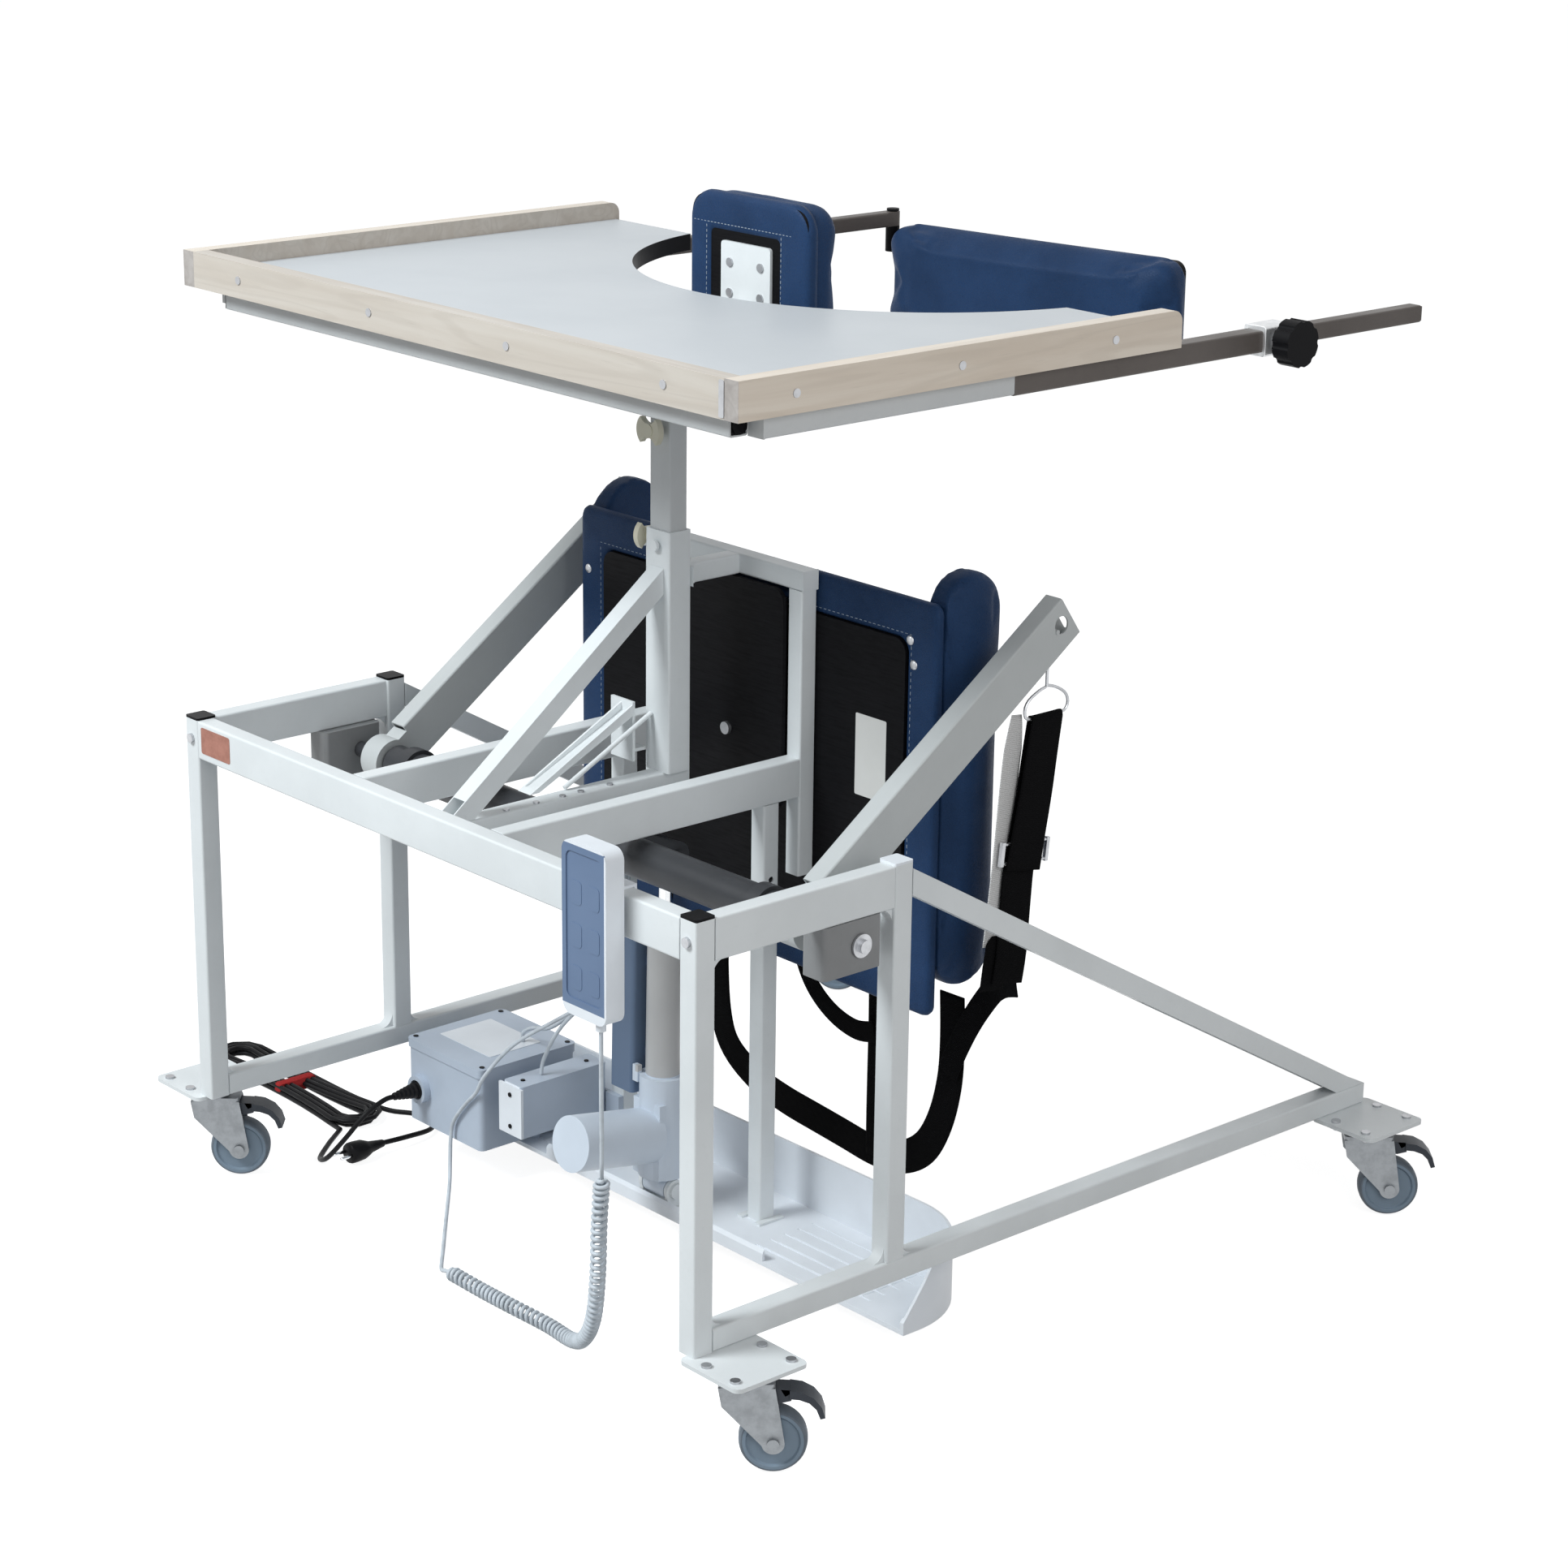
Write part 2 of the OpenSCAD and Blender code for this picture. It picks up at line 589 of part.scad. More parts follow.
module mains_cord() {
    cord = concat(drop, [[-535, -114, 4.6]], hank, tail, [[-438, -118, 16]]);
    echo(mains_cord_least_gap = least_gap(cord, mains_r));
    color([0.08, 0.08, 0.09]) shifted() sweep(cord, mains_r, 6);
}

module cord_fittings() {
    color([0.08, 0.08, 0.09]) shifted() {
        translate([-385, -85, 105]) rotate([90, 0, 0]) cylinder(r1 = 13, r2 = 5, h = 45, $fn = 32);
        rod_y(-85, -75, -385, 105, 7.8);
        rod_y(-168, -118.2, -438, 16, 15);
        for (x = [-447, -429]) rod_y(-187, -168, x, 16, 2.4);
        difference() {
            box([hank_x - 9, hank_y - 33, 0], [hank_x + 9, hank_y + 33, 17.4]);
            box([hank_x - 10, hank_y - 32, 0.7], [hank_x + 10, hank_y + 32, 16.7]);
        }
    }
}

module mast_inner() {
    color([0.78, 0.8, 0.82]) shifted() {
        difference() {
            translate([0, 21.5, mast_top - 185]) rtube(table_z - mast_top + 185, mast_w - 7, 28, 2.5, 3);
            rod_y(5, 14, 0, screw_z, 4.1);
        }
    }
}

module table_frame() {
    color([0.8, 0.82, 0.83]) shifted() {
        z = table_z + tbl / 2;
        tube_x(-464, 480, -284.5, z, tbl, tbl);
        tube_y(-272 + seam, 94, 495, z, tbl, tbl);
        tube_y(-272 + seam, 94, -495, z, tbl, tbl);
        tube_y(-272 + seam, -4 - seam, 0, z, tbl, tbl);
        tube_y(58 + seam, chest_y - 4, 0, z, tbl, tbl);
        tube_x(-482.5 + seam, -30 - seam, 30, z, tbl, tbl);
        tube_x(30 + seam, 482.5 - seam, 30, z, tbl, tbl);
        plate_z(-30, 30, -4, 58, table_z, table_z + tbl, 4);
        for (x = [-495, 495]) box([x - tbl / 2, -274, table_z], [x + tbl / 2, -272 + 2 * seam, table_z + tbl]);
    }
}

module table_top() {
    color([0.9, 0.91, 0.9]) shifted() {
        difference() {
            box([-table_x + 22, -table_front + 22, table_z + tbl], [table_x - 22, table_rear - 6, table_z + tbl + 22]);
            translate([0, table_rear + 68, table_z]) cylinder(r = cut_r, h = 80, $fn = 180);
        }
    }
}

module table_edges() {
    z0 = table_z + tbl;
    color([0.86, 0.72, 0.55]) shifted() {
        box([-table_x + 22 + seam, -table_front, z0], [table_x - 22 - seam, -table_front + 22, z0 + edge_h]);
        for (s = [-1, 1]) {
            x = s * (table_x - 11);
            difference() {
                box([x - 11, -table_front, z0], [x + 11, table_rear, z0 + edge_h]);
                translate([x - 12, table_rear - 14, z0 + edge_h - 14]) rotate([90, 0, 90])
                    linear_extrude(24) difference() {
                        square(20);
                        circle(14, $fn = 48);
                    }
            }
        }
    }
}

module table_fittings() {
    z0 = table_z + tbl;
    color([0.2, 0.2, 0.21]) shifted() {
        rod_x(480, 483, -284.5, table_z + tbl / 2, 10);
        box([470, -294, table_z + 3], [480, -275, table_z + tbl - 3]);
        box([-467, -296, table_z + 1], [-464, -273, table_z + tbl - 1]);
        for (x = [-400, -130, 130, 400]) rod_y(-table_front - 1.2, -table_front, x, z0 + 22, 5);
        for (s = [-1, 1], y = [-240, 0, 240])
            rod_x(s * (table_x + 0.6) - 0.6, s * (table_x + 0.6) + 0.6, y, z0 + 22, 5);
        plate_y(table_x - 30, table_x - 22, z0 + 2, z0 + edge_h - 2, -table_front - 1, -table_front, 2);
    }
}

module chest_board() {
    color([0.08, 0.08, 0.09]) shifted() {
        plate_y(-103, 108, table_z - 20, chest_z + 84, chest_y, chest_y + 12, 24);
        plate_y(-45, 45, table_z - 2, chest_z + 32, chest_y - 4, chest_y, 5);
        for (x = [-28, 28], z = [table_z + 35, table_z + 72]) rod_y(chest_y - 6, chest_y - 4, x, z, 5.5);
    }
}

module chest_pad() {
    color([0.12, 0.19, 0.32]) shifted() {
        translate([2.5, chest_y + 12, chest_z]) cushion(215, 178, chest_t, 10, 36, 6);
    }
}

module arm_tubes() {
    color([0.25, 0.24, 0.24]) shifted() {
        tube_y(94, 505, 495, bar_z, 26, 26);
        tube_y(94, 396, -490, table_z + 2, 26, 26);
        for (y = [110, 300]) box([-502, y, table_z + 15], [-483, y + 20, table_z + tbl]);
    }
}

module arm_clamp() {
    color([0.75, 0.76, 0.77]) shifted() {
        difference() {
            translate([495, 505, bar_z]) rotate([-90, 0, 0]) linear_extrude(47) rrect(34, 36, 4);
            box([483.8, 504, bar_z - 11.2], [506.2, 553, bar_z + 11.2]);
            rod_x(505, 513, 530, bar_z, 4.1);
        }
        difference() {
            rod_x(512, 518, 530, bar_z, 9);
            rod_x(511, 519, 530, bar_z, 4.1);
        }
    }
}

module near_bar() {
    color([0.3, 0.29, 0.28]) shifted() {
        tube_y(330, 800, 495, bar_z, 21, 21);
        box([486, 800, bar_z - 9], [504, 803, bar_z + 9]);
    }
}

module clamp_knob() {
    color([0.08, 0.08, 0.09]) shifted() {
        rod_x(507, 524, 530, bar_z, 4.05);
        rod_x(518.1, 524, 530, bar_z, 10);
        difference() {
            rod_x(524, 548, 530, bar_z, 28);
            for (a = [0:45:315]) translate([523, 530, bar_z]) rotate([a, 0, 0])
                translate([0, 33, 0]) rotate([0, 90, 0]) cylinder(r = 7, h = 26, $fn = 32);
        }
    }
}

module far_bar() {
    color([0.3, 0.29, 0.28]) shifted() {
        tube_y(250, 828, -490, table_z + 2, 21, 21);
        difference() {
            union() {
                box([-500, 828, table_z - 8], [-480, gate_y, table_z + 12]);
                rod_z(table_z - 8, table_z + 12, -490, gate_y, 10);
            }
            rod_z(table_z - 9, table_z + 13, -490, gate_y, 5.05);
        }
    }
}

module gate_board() {
    color([0.08, 0.08, 0.09]) shifted() translate([-490, gate_y, 0]) rotate([0, 0, gate_a]) {
        rod_z(bracket_z, table_z + 13, 0, 0, 5);
        rod_z(table_z + 13, table_z + 16, 0, 0, 9);
        rod_z(bracket_z, table_z - 8.5, 0, 0, 10);
        box([0, -4, bracket_z], [40, 5, bracket_z + 30]);
        plate_y(26, 494, bracket_z - 94, bracket_z + 40, 5, 15, 16);
        for (x = [30, 52], z = [bracket_z + 8, bracket_z + 23]) rod_y(15, 17, x, z, 4);
    }
}

module back_pad() {
    color([0.12, 0.19, 0.32]) shifted() translate([-490, gate_y, 0]) rotate([0, 0, gate_a]) {
        difference() {
            translate([260, 5, bracket_z - 31]) mirror([0, 1, 0]) cushion(494, 158, back_t, 5, 30, 6);
            box([10, -4.6, bracket_z - 1], [40.6, 6, bracket_z + 31]);
        }
    }
}

// Wing screw pointing to -Y, boss face at Y 0
module wing(depth) {
    rod_y(-16, depth, 0, 0, 4.05);
    rod_y(-18, -2, 0, 0, 9);
    difference() {
        rod_y(-17, -9, 0, 0, 21);
        for (s = [-1, 1]) translate([0, -18, s * 24]) rotate([-90, 0, 0]) cylinder(r = 16, h = 12, $fn = 48);
    }
}

module lower_wing_screw() {
    color([0.9, 0.89, 0.82]) shifted() translate([-mast_w / 2 - 2, 21.5, mast_top - 14]) rotate([0, 0, -90]) wing(1.9);
}

module upper_wing_screw() {
    color([0.9, 0.89, 0.82]) shifted() translate([0, 5.5, screw_z]) wing(6);
}

module torque_tube() {
    color([0.3, 0.31, 0.33]) shifted() {
        difference() {
            rod_x(-380, 380, axis_y, axis_z, torque_d / 2);
            rod_x(-381, 381, axis_y, axis_z, torque_d / 2 - 4);
        }
        for (s = [-1, 1]) {
            difference() {
                rod_x(s * 340 - 10, s * 340 + 10, axis_y, axis_z, torque_d / 2 + 5);
                rod_x(s * 340 - 11, s * 340 + 11, axis_y, axis_z, torque_d / 2);
            }
            rod_x(min(s * 386, s * 372), max(s * 386, s * 372), axis_y, axis_z, torque_d / 2 - 4);
            rod_x(min(s * 420, s * 504), max(s * 420, s * 504), axis_y, axis_z, 10);
            rod_x(min(s * 501, s * 504), max(s * 501, s * 504), axis_y, axis_z, 14);
            rod_x(min(s * 504, s * 510), max(s * 504, s * 510), axis_y, axis_z, 8);
        }
        for (s = [-1, 1]) difference() {
            translate([s * 18 - 2, axis_y, axis_z]) rotate([-21, 0, 0]) {
                translate([0, 0, -20]) cube([4, 144.7, 40]);
                translate([0, 144.7, 0]) rotate([0, 90, 0]) cylinder(r = 20, h = 4, $fn = 48);
            }
            rod_x(s * 18 - 3, s * 18 + 3, axis_y, axis_z, torque_d / 2);
        }
        for (s = [-1, 1]) translate([0, axis_y, axis_z]) rotate([-21, 0, 0])
            rod_x(s * 22.5 - 2.5, s * 22.5 + 2.5, 144.7, 0, 9);
    }
}

module lift_arms() {
    color([0.9, 0.92, 0.93]) shifted() {
        for (s = [-1, 1]) translate([s * arm_x, axis_y, axis_z]) {
            rotate([arm_a, 0, 0]) difference() {
                translate([0, 38, 0]) rotate([-90, 0, 0]) rtube(arm_len - 38, 28, arm_h, 2.5, 3);
                rod_x(-15, 15, arm_len - 18, 2, 11);
                rod_x(-15, 15, hook_at, 0, 3);
                box([-3.5, hook_at - 37, -arm_h / 2 - 1], [3.5, hook_at + 9, -arm_h / 2 + 3]);
            }
            rotate([arm_a, 0, 0]) box([-14, 0, -20], [14, 38, 20]);
            rod_x(min(-s * 14, s * 20), max(-s * 14, s * 20), 0, 0, 30);
            rotate([arm_a, 0, 0]) rod_x(-15.5, 15.5, hook_at, 0, 2.95);
        }
    }
}

// Actuator frame: foot pin at the origin, rod along Z
module actuator() {
    shifted() translate([0, act_y, 70]) rotate([-atan2(lever_y - act_y, lever_z - 70), 0, 0]) children();
}

module actuator_body() {
    color([0.6, 0.65, 0.7]) actuator() {
        difference() {
            union() {
                rod_z(16, 152, 0, 0, 30);
                rod_z(0, 17, 0, 0, 15);
                rod_x(-20, 20, 0, 0, 14);
                box([-26, -26, 18], [26, 14, 120]);
                translate([0, -22, 73]) rotate([81, 0, 0]) cylinder(r = 36, h = 128, $fn = 96);
            }
            rod_x(-21, 21, 0, 0, 6);
            rod_z(80, 153, 0, 0, 13);
        }
        difference() {
            rod_z(152, 350, 0, 0, 22.5);
            rod_z(151, 335, 0, 0, 13);
            rod_z(334, 351, 0, 0, 9.06);
        }
        box([-29, -26, 140], [-19, -19, 162]);
    }
}

module actuator_block() {
    color([0.42, 0.5, 0.62]) actuator() {
        plate_z(-75, -30, -26, 16, 121, 330, 6);
        for (z = [170, 290]) box([-30, -6, z], [-22.5, 6, z + 12]);
        rod_z(115, 121, -52, -6, 7);
    }
}

module actuator_rod() {
    color([0.75, 0.76, 0.77]) actuator() {
        rod_len = norm([lever_y - act_y, lever_z - 70]);
        rod_z(165, rod_len - 12, 0, 0, 9);
        difference() {
            union() {
                rod_x(-11, 11, 0, rod_len, 15);
                rod_z(rod_len - 25, rod_len - 9, 0, 0, 11);
            }
            rod_x(-12, 12, 0, rod_len, 8);
        }
    }
}

// The hook hangs from a pin inside the near arm
hook_y = axis_y + hook_at * cos(arm_a);
hook_z = axis_z + hook_at * sin(arm_a);
module sling_hook() {
    color([0.45, 0.46, 0.46]) shifted() translate([arm_x, hook_y, hook_z]) {
        difference() {
            rod_x(-2.2, 2.2, 0, 0, 7);
            rod_x(-3, 3, 0, 0, 3.05);
        }
        rod_z(-70, -5, 0, 0, 2);
        sweep(smooth([[0, 0, -68], [0, 14, -72], [0, 31, -82], [0, 37, -94], [0, 31, -104.5], [0, 10, -105],
            [0, -10, -105], [0, -31, -104.5], [0, -36, -94], [0, -30, -82], [0, -13, -73], [0, -2, -70]], 3), 2, 8);
        rotate([-6.1, 0, 0]) {
            for (z = [-260, -284]) rod_y(-38, 38, 0, z, 2);
            for (y = [-38, 38]) box([-2.5, y - 2.5, -287], [2.5, y + 2.5, -257]);
        }
    }
}

// Band of webbing in Y and Z, drawn from the hook, or in X and Z
function ribbon(P, w) = let (k = len(P) - 1,
    d = [for (i = [0:k]) let (t = unit(P[min(i + 1, k)] - P[max(i - 1, 0)])) [-t[1], t[0]]])
    concat([for (i = [0:k]) P[i] + d[i] * w / 2], [for (i = [k:-1:0]) P[i] - d[i] * w / 2]);

module band_x(x0, x1, P, w) {
    translate([x0, 0, 0]) rotate([90, 0, 90]) linear_extrude(x1 - x0) polygon(ribbon(P, w));
}

module band_y(y0, y1, P, w) {
    translate([0, y1, 0]) rotate([90, 0, 0]) linear_extrude(y1 - y0) polygon(ribbon(P, w));
}

module sling_strap() {
    color([0.06, 0.06, 0.07]) shifted() translate([arm_x, hook_y, hook_z]) {
        band_x(2.3, 4.8, [[0, -101], [-8, -150], [-16, -200], [-26, -250], [-34, -292]], 60);
        band_x(-4.8, -2.3, [[0, -101], [-8, -150], [-16, -200], [-26, -250], [-34, -292],
            [-38, -340], [-42, -400], [-48, -436]], 54);
        box([-4.8, -26, -102.6], [4.8, 26, -100.5]);
        band_x(-9, -7, [[-41, -99], [-48, -160], [-58, -260], [-66, -340], [-72, -384]], 20);
        band_x(-7, -4.8, [[-62, -372], [-66, -400], [-72, -440]], 40);
    }
}

module sling_loops() {
    color([0.06, 0.06, 0.07]) shifted() {
        band_y(252, 255, smooth([[-172, 372], [-173, 268], [-164, 196], [-143, 152], [-95, 124], [-40, 113],
            [20, 106], [80, 100], [140, 96], [190, 103], [232, 130], [260, 176], [274, 230], [277, 290],
            [276, 352]], 3), 44);
        band_y(246, 249, smooth([[276, 246], [286, 272], [300, 300], [316, 328], [333, 354.5], [350, 378.2],
            [359, 386.9], [369.7, 393.6], [381.4, 397.9], [390.8, 400.2]], 2), 34);
        band_y(246, 249, smooth([[152, 330], [152, 250], [153, 180], [153, 92]], 3), 44);
        band_y(240, 243, smooth([[-8, 376], [4, 336], [30, 296], [70, 268], [112, 258], [150, 266]], 3), 28);
        box([270, 249, 262], [290, 252, 286]);
        box([140, 249, 98], [166, 252, 114]);
        box([136, 243, 258], [150, 246, 276]);
    }
}

// One caster, swivel axis at the origin, wheel axle trailing along +X
module caster_fork() {
    z = wheel_d / 2;
    cw = wheel_w / 2 + 2;
    color([0.75, 0.77, 0.79]) {
        rod_z(100, base_z - 5.2, 0, 0, 6);
        rod_z(112, base_z - 8.3, 0, 0, 23);
        plate_z(-26, 38, -cw - 3, cw + 3, 106, 112, 6);
        for (s = [-1, 1]) {
            translate([0, s * (cw + 1.5) + 1.5, 0]) rotate([90, 0, 0]) linear_extrude(3) {
                polygon([[-26, 107], [38, 107], [trail + 12.5, z + 4], [trail - 12.5, z - 3], [-22, 84]]);
                translate([trail, z]) circle(13, $fn = 48);
            }
            rod_y(s * (cw + 5) - 2, s * (cw + 5) + 2, trail, z, 7);
        }
        rod_y(-cw - 5, cw + 5, trail, z, 4);
        rod_y(-cw - 3, cw + 3, 27, 96, 3);
    }
}

module caster_wheel() {
    r = wheel_d / 2;
    w = wheel_w / 2;
    color([0.5, 0.52, 0.55]) translate([trail, 0, r]) rotate([90, 0, 0])
        rotate_extrude($fn = 96) polygon([[4.06, -w - 1.5], [11, -w - 1.5], [11, -w + 3], [r - 10, -w + 3],
            [r - 8, -w], [r - 2.5, -w], [r - 0.6, -w + 4], [r, -w + 9], [r, w - 9], [r - 0.6, w - 4],
            [r - 2.5, w], [r - 8, w], [r - 10, w - 3], [11, w - 3], [11, w + 1.5], [4.06, w + 1.5]]);
}

module caster_pedal() {
    color([0.1, 0.1, 0.11]) {
        difference() {
            translate([0, 13, 0]) rotate([90, 0, 0]) linear_extrude(26)
                polygon([[20, 92], [24, 102], [34, 104], [56, 103], [56, 90], [44, 87], [30, 88]]);
            rod_y(-14, 14, 27, 96, 3.05);
        }
        translate([0, 15, 0]) rotate([90, 0, 0]) linear_extrude(30)
            polygon([[54, 103], [68, 101], [81, 94], [90, 83], [94, 70], [88.5, 68.5], [84, 80],
                [76, 88], [65, 92], [54, 93]]);
    }
}

module at_caster(i) {
    translate(concat(caster_at(i), [0])) rotate([0, 0, 48.16]) children();
}

module front_near_fork() { shifted() at_caster(0) caster_fork(); }
module front_near_wheel() { shifted() at_caster(0) caster_wheel(); }
module front_near_pedal() { shifted() at_caster(0) caster_pedal(); }
module front_far_fork() { shifted() at_caster(1) caster_fork(); }
module front_far_wheel() { shifted() at_caster(1) caster_wheel(); }
module front_far_pedal() { shifted() at_caster(1) caster_pedal(); }
module rear_near_fork() { shifted() at_caster(2) caster_fork(); }
module rear_near_wheel() { shifted() at_caster(2) caster_wheel(); }
module rear_near_pedal() { shifted() at_caster(2) caster_pedal(); }
module rear_far_fork() { shifted() at_caster(3) caster_fork(); }
module rear_far_wheel() { shifted() at_caster(3) caster_wheel(); }
module rear_far_pedal() { shifted() at_caster(3) caster_pedal(); }

top_rails();
centre_beam();
legs();
bottom_rails();
diagonal_braces();
caster_plates();
leg_caps();
nameplate();
mast_outer();
cable_channel();
knee_frame();
foot_posts();
foot_tray();
pivot_blocks();
frame_bolts();
knee_board();
centre_board();
knee_pad();
control_box();
side_box();
handset();
handset_cord();
mains_cord();
cord_fittings();
mast_inner();
table_frame();
table_top();
table_edges();
table_fittings();
chest_board();
chest_pad();
arm_tubes();
arm_clamp();
near_bar();
clamp_knob();
far_bar();
gate_board();
back_pad();
lower_wing_screw();
upper_wing_screw();
torque_tube();
lift_arms();
actuator_body();
actuator_block();
actuator_rod();
sling_hook();
sling_strap();
sling_loops();
front_near_fork();
front_near_wheel();
front_near_pedal();
front_far_fork();
front_far_wheel();
front_far_pedal();
rear_near_fork();
rear_near_wheel();
rear_near_pedal();
rear_far_fork();
rear_far_wheel();
rear_far_pedal();
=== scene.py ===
"""Standing frame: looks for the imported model, in metres, in the frame of the CAD."""
import math

import bmesh
import bpy
from mathutils import Matrix, Vector


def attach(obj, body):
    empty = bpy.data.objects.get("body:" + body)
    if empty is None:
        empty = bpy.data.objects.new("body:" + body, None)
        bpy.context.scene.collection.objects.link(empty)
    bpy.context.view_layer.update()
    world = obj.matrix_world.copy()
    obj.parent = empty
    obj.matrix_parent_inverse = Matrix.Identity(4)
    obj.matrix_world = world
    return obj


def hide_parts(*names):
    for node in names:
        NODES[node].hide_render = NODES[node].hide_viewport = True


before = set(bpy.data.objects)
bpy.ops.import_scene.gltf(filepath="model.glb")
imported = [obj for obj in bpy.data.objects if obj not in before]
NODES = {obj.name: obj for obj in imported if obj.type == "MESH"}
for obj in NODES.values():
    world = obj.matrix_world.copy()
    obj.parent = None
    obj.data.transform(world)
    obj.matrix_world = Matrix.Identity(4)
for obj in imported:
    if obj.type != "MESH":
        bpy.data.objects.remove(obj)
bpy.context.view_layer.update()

# The CAD is drawn about the mast and shifted by this, in metres
SHIFT = Vector((-0.01906, -0.27525, 0.0))


def at(x, y, z):
    """A point given in millimetres about the mast, as in the part's source."""
    return Vector((x, y, z)) / 1000 + SHIFT


def at_x(x):
    """The X, in metres, of a plane given in millimetres about the mast."""
    return at(x, 0, 0).x


def at_y(y):
    """The Y, in metres, of a plane given in millimetres about the mast."""
    return at(0, y, 0).y


# --- Camera ---

CAMERA_AT = at(3273.38, -2710.90, 1965.39)
CAMERA_AZIMUTH = math.radians(48.216)
CAMERA_ELEVATION = math.radians(17.680)
CAMERA_ROLL = math.radians(0.7298)
FOCAL_PIXELS = 4457.67
PHOTO_PIXELS = 1932
SENSOR_MM = 36.0


def make_camera():
    back = Vector((
        math.sin(CAMERA_AZIMUTH) * math.cos(CAMERA_ELEVATION),
        -math.cos(CAMERA_AZIMUTH) * math.cos(CAMERA_ELEVATION),
        math.sin(CAMERA_ELEVATION),
    ))
    right = Vector((0, 0, 1)).cross(back).normalized()
    up = back.cross(right)
    c, s = math.cos(CAMERA_ROLL), math.sin(CAMERA_ROLL)
    rolled_right, rolled_up = c * right + s * up, -s * right + c * up
    turn = Matrix((rolled_right, rolled_up, back)).transposed()
    data = bpy.data.cameras.new("camera")
    data.sensor_fit = "HORIZONTAL"
    data.sensor_width = SENSOR_MM
    data.lens = FOCAL_PIXELS * SENSOR_MM / PHOTO_PIXELS
    data.clip_end = 60
    camera = bpy.data.objects.new("camera", data)
    camera.matrix_world = Matrix.Translation(CAMERA_AT) @ turn.to_4x4()
    bpy.context.scene.collection.objects.link(camera)
    bpy.context.scene.camera = camera


make_camera()


# --- Node helpers ---


def put(tree, target, value):
    """Links an output, or sets a plain value, on an input."""
    if isinstance(value, bpy.types.NodeSocket):
        tree.links.new(value, target)
    else:
        target.default_value = value


def math_node(tree, operation, a, b=0.0):
    made = tree.nodes.new("ShaderNodeMath")
    made.operation = operation
    put(tree, made.inputs[0], a)
    put(tree, made.inputs[1], b)
    return made.outputs[0]


class Shader:
    """A material with short ways to add nodes to it."""

    def __init__(self, name):
        self.material = bpy.data.materials.new(name)
        self.material.use_nodes = True
        self.tree = self.material.node_tree
        self.bsdf = self.tree.nodes["Principled BSDF"]
        self.place = self.node("ShaderNodeTexCoord").outputs["Object"]

    def node(self, kind, **settings):
        made = self.tree.nodes.new(kind)
        for key, value in settings.items():
            setattr(made, key, value)
        return made

    def link(self, a, b):
        self.tree.links.new(a, b)

    def put(self, target, value):
        put(self.tree, target, value)

    def stretch(self, scale, vector=None):
        mapping = self.node("ShaderNodeMapping")
        mapping.inputs["Scale"].default_value = scale
        self.link(vector or self.place, mapping.inputs["Vector"])
        return mapping.outputs["Vector"]

    def noise(self, scale, detail=4.0, rough=0.55, vector=None, distortion=0.0):
        made = self.node("ShaderNodeTexNoise")
        made.inputs["Scale"].default_value = scale
        made.inputs["Detail"].default_value = detail
        made.inputs["Roughness"].default_value = rough
        made.inputs["Distortion"].default_value = distortion
        self.link(vector or self.place, made.inputs["Vector"])
        return made.outputs["Fac"]

    def cells(self, scale, feature="F1", vector=None):
        made = self.node("ShaderNodeTexVoronoi", feature=feature)
        made.inputs["Scale"].default_value = scale
        self.link(vector or self.place, made.inputs["Vector"])
        return made.outputs["Distance"]

    def math(self, operation, a, b=0.0):
        return math_node(self.tree, operation, a, b)

    def span(self, value, low, high, to_low=0.0, to_high=1.0):
        """Maps low to high softly on to another range."""
        made = self.node("ShaderNodeMapRange", clamp=True, interpolation_type="SMOOTHSTEP")
        for key, number in zip((1, 2, 3, 4), (low, high, to_low, to_high)):
            made.inputs[key].default_value = number
        self.put(made.inputs[0], value)
        return made.outputs[0]

    def mix(self, factor, a, b, blend="MIX"):
        made = self.node("ShaderNodeMix", data_type="RGBA", blend_type=blend)
        self.put(made.inputs["Factor"], factor)
        self.put(made.inputs[6], a)
        self.put(made.inputs[7], b)
        return made.outputs[2]

    def axis(self, name, vector=None):
        made = self.node("ShaderNodeSeparateXYZ")
        self.link(vector or self.place, made.inputs[0])
        return made.outputs[name]

    def bump(self, height, distance):
        made = self.node("ShaderNodeBump")
        made.inputs["Strength"].default_value = 1.0
        made.inputs["Distance"].default_value = distance
        self.link(height, made.inputs["Height"])
        return made.outputs["Normal"]

    def finish(self, color, rough, normal=None, metallic=0.0, coat=0.0, coat_rough=0.1, specular=0.5, sheen=0.0):
        self.put(self.bsdf.inputs["Base Color"], color)
        self.put(self.bsdf.inputs["Roughness"], rough)
        self.bsdf.inputs["Metallic"].default_value = metallic
        self.bsdf.inputs["Coat Weight"].default_value = coat
        self.bsdf.inputs["Coat Roughness"].default_value = coat_rough
        self.bsdf.inputs["Specular IOR Level"].default_value = specular
        self.bsdf.inputs["Sheen Weight"].default_value = sheen
        if normal is not None:
            self.link(normal, self.bsdf.inputs["Normal"])
        return self.material


def rgba(color, gain=1.0):
    return (*[min(1.0, c * gain) for c in color], 1.0)


# --- Materials ---


def paint(name, color, rough=0.36, spread=0.05, peel=0.00004, specular=0.4):
    """Powder coat: faint orange peel, handling dust in broad patches."""
    s = Shader(name)
    dust = s.noise(5.0, 5.0, 0.6)
    fine = s.noise(140.0, 3.0)
    tone = s.mix(s.span(dust, 0.35, 0.7), rgba(color, 1.0 + spread * 0.5), rgba(color, 1.0 - spread))
    tone = s.mix(s.span(fine, 0.55, 0.8, 0.0, 0.25), tone, rgba(color, 1.0 - spread * 2))
    shine = s.span(dust, 0.3, 0.75, rough - 0.05, rough + 0.09)
    return s.finish(tone, shine, s.bump(s.noise(420.0, 2.0, 0.4), peel), specular=specular)


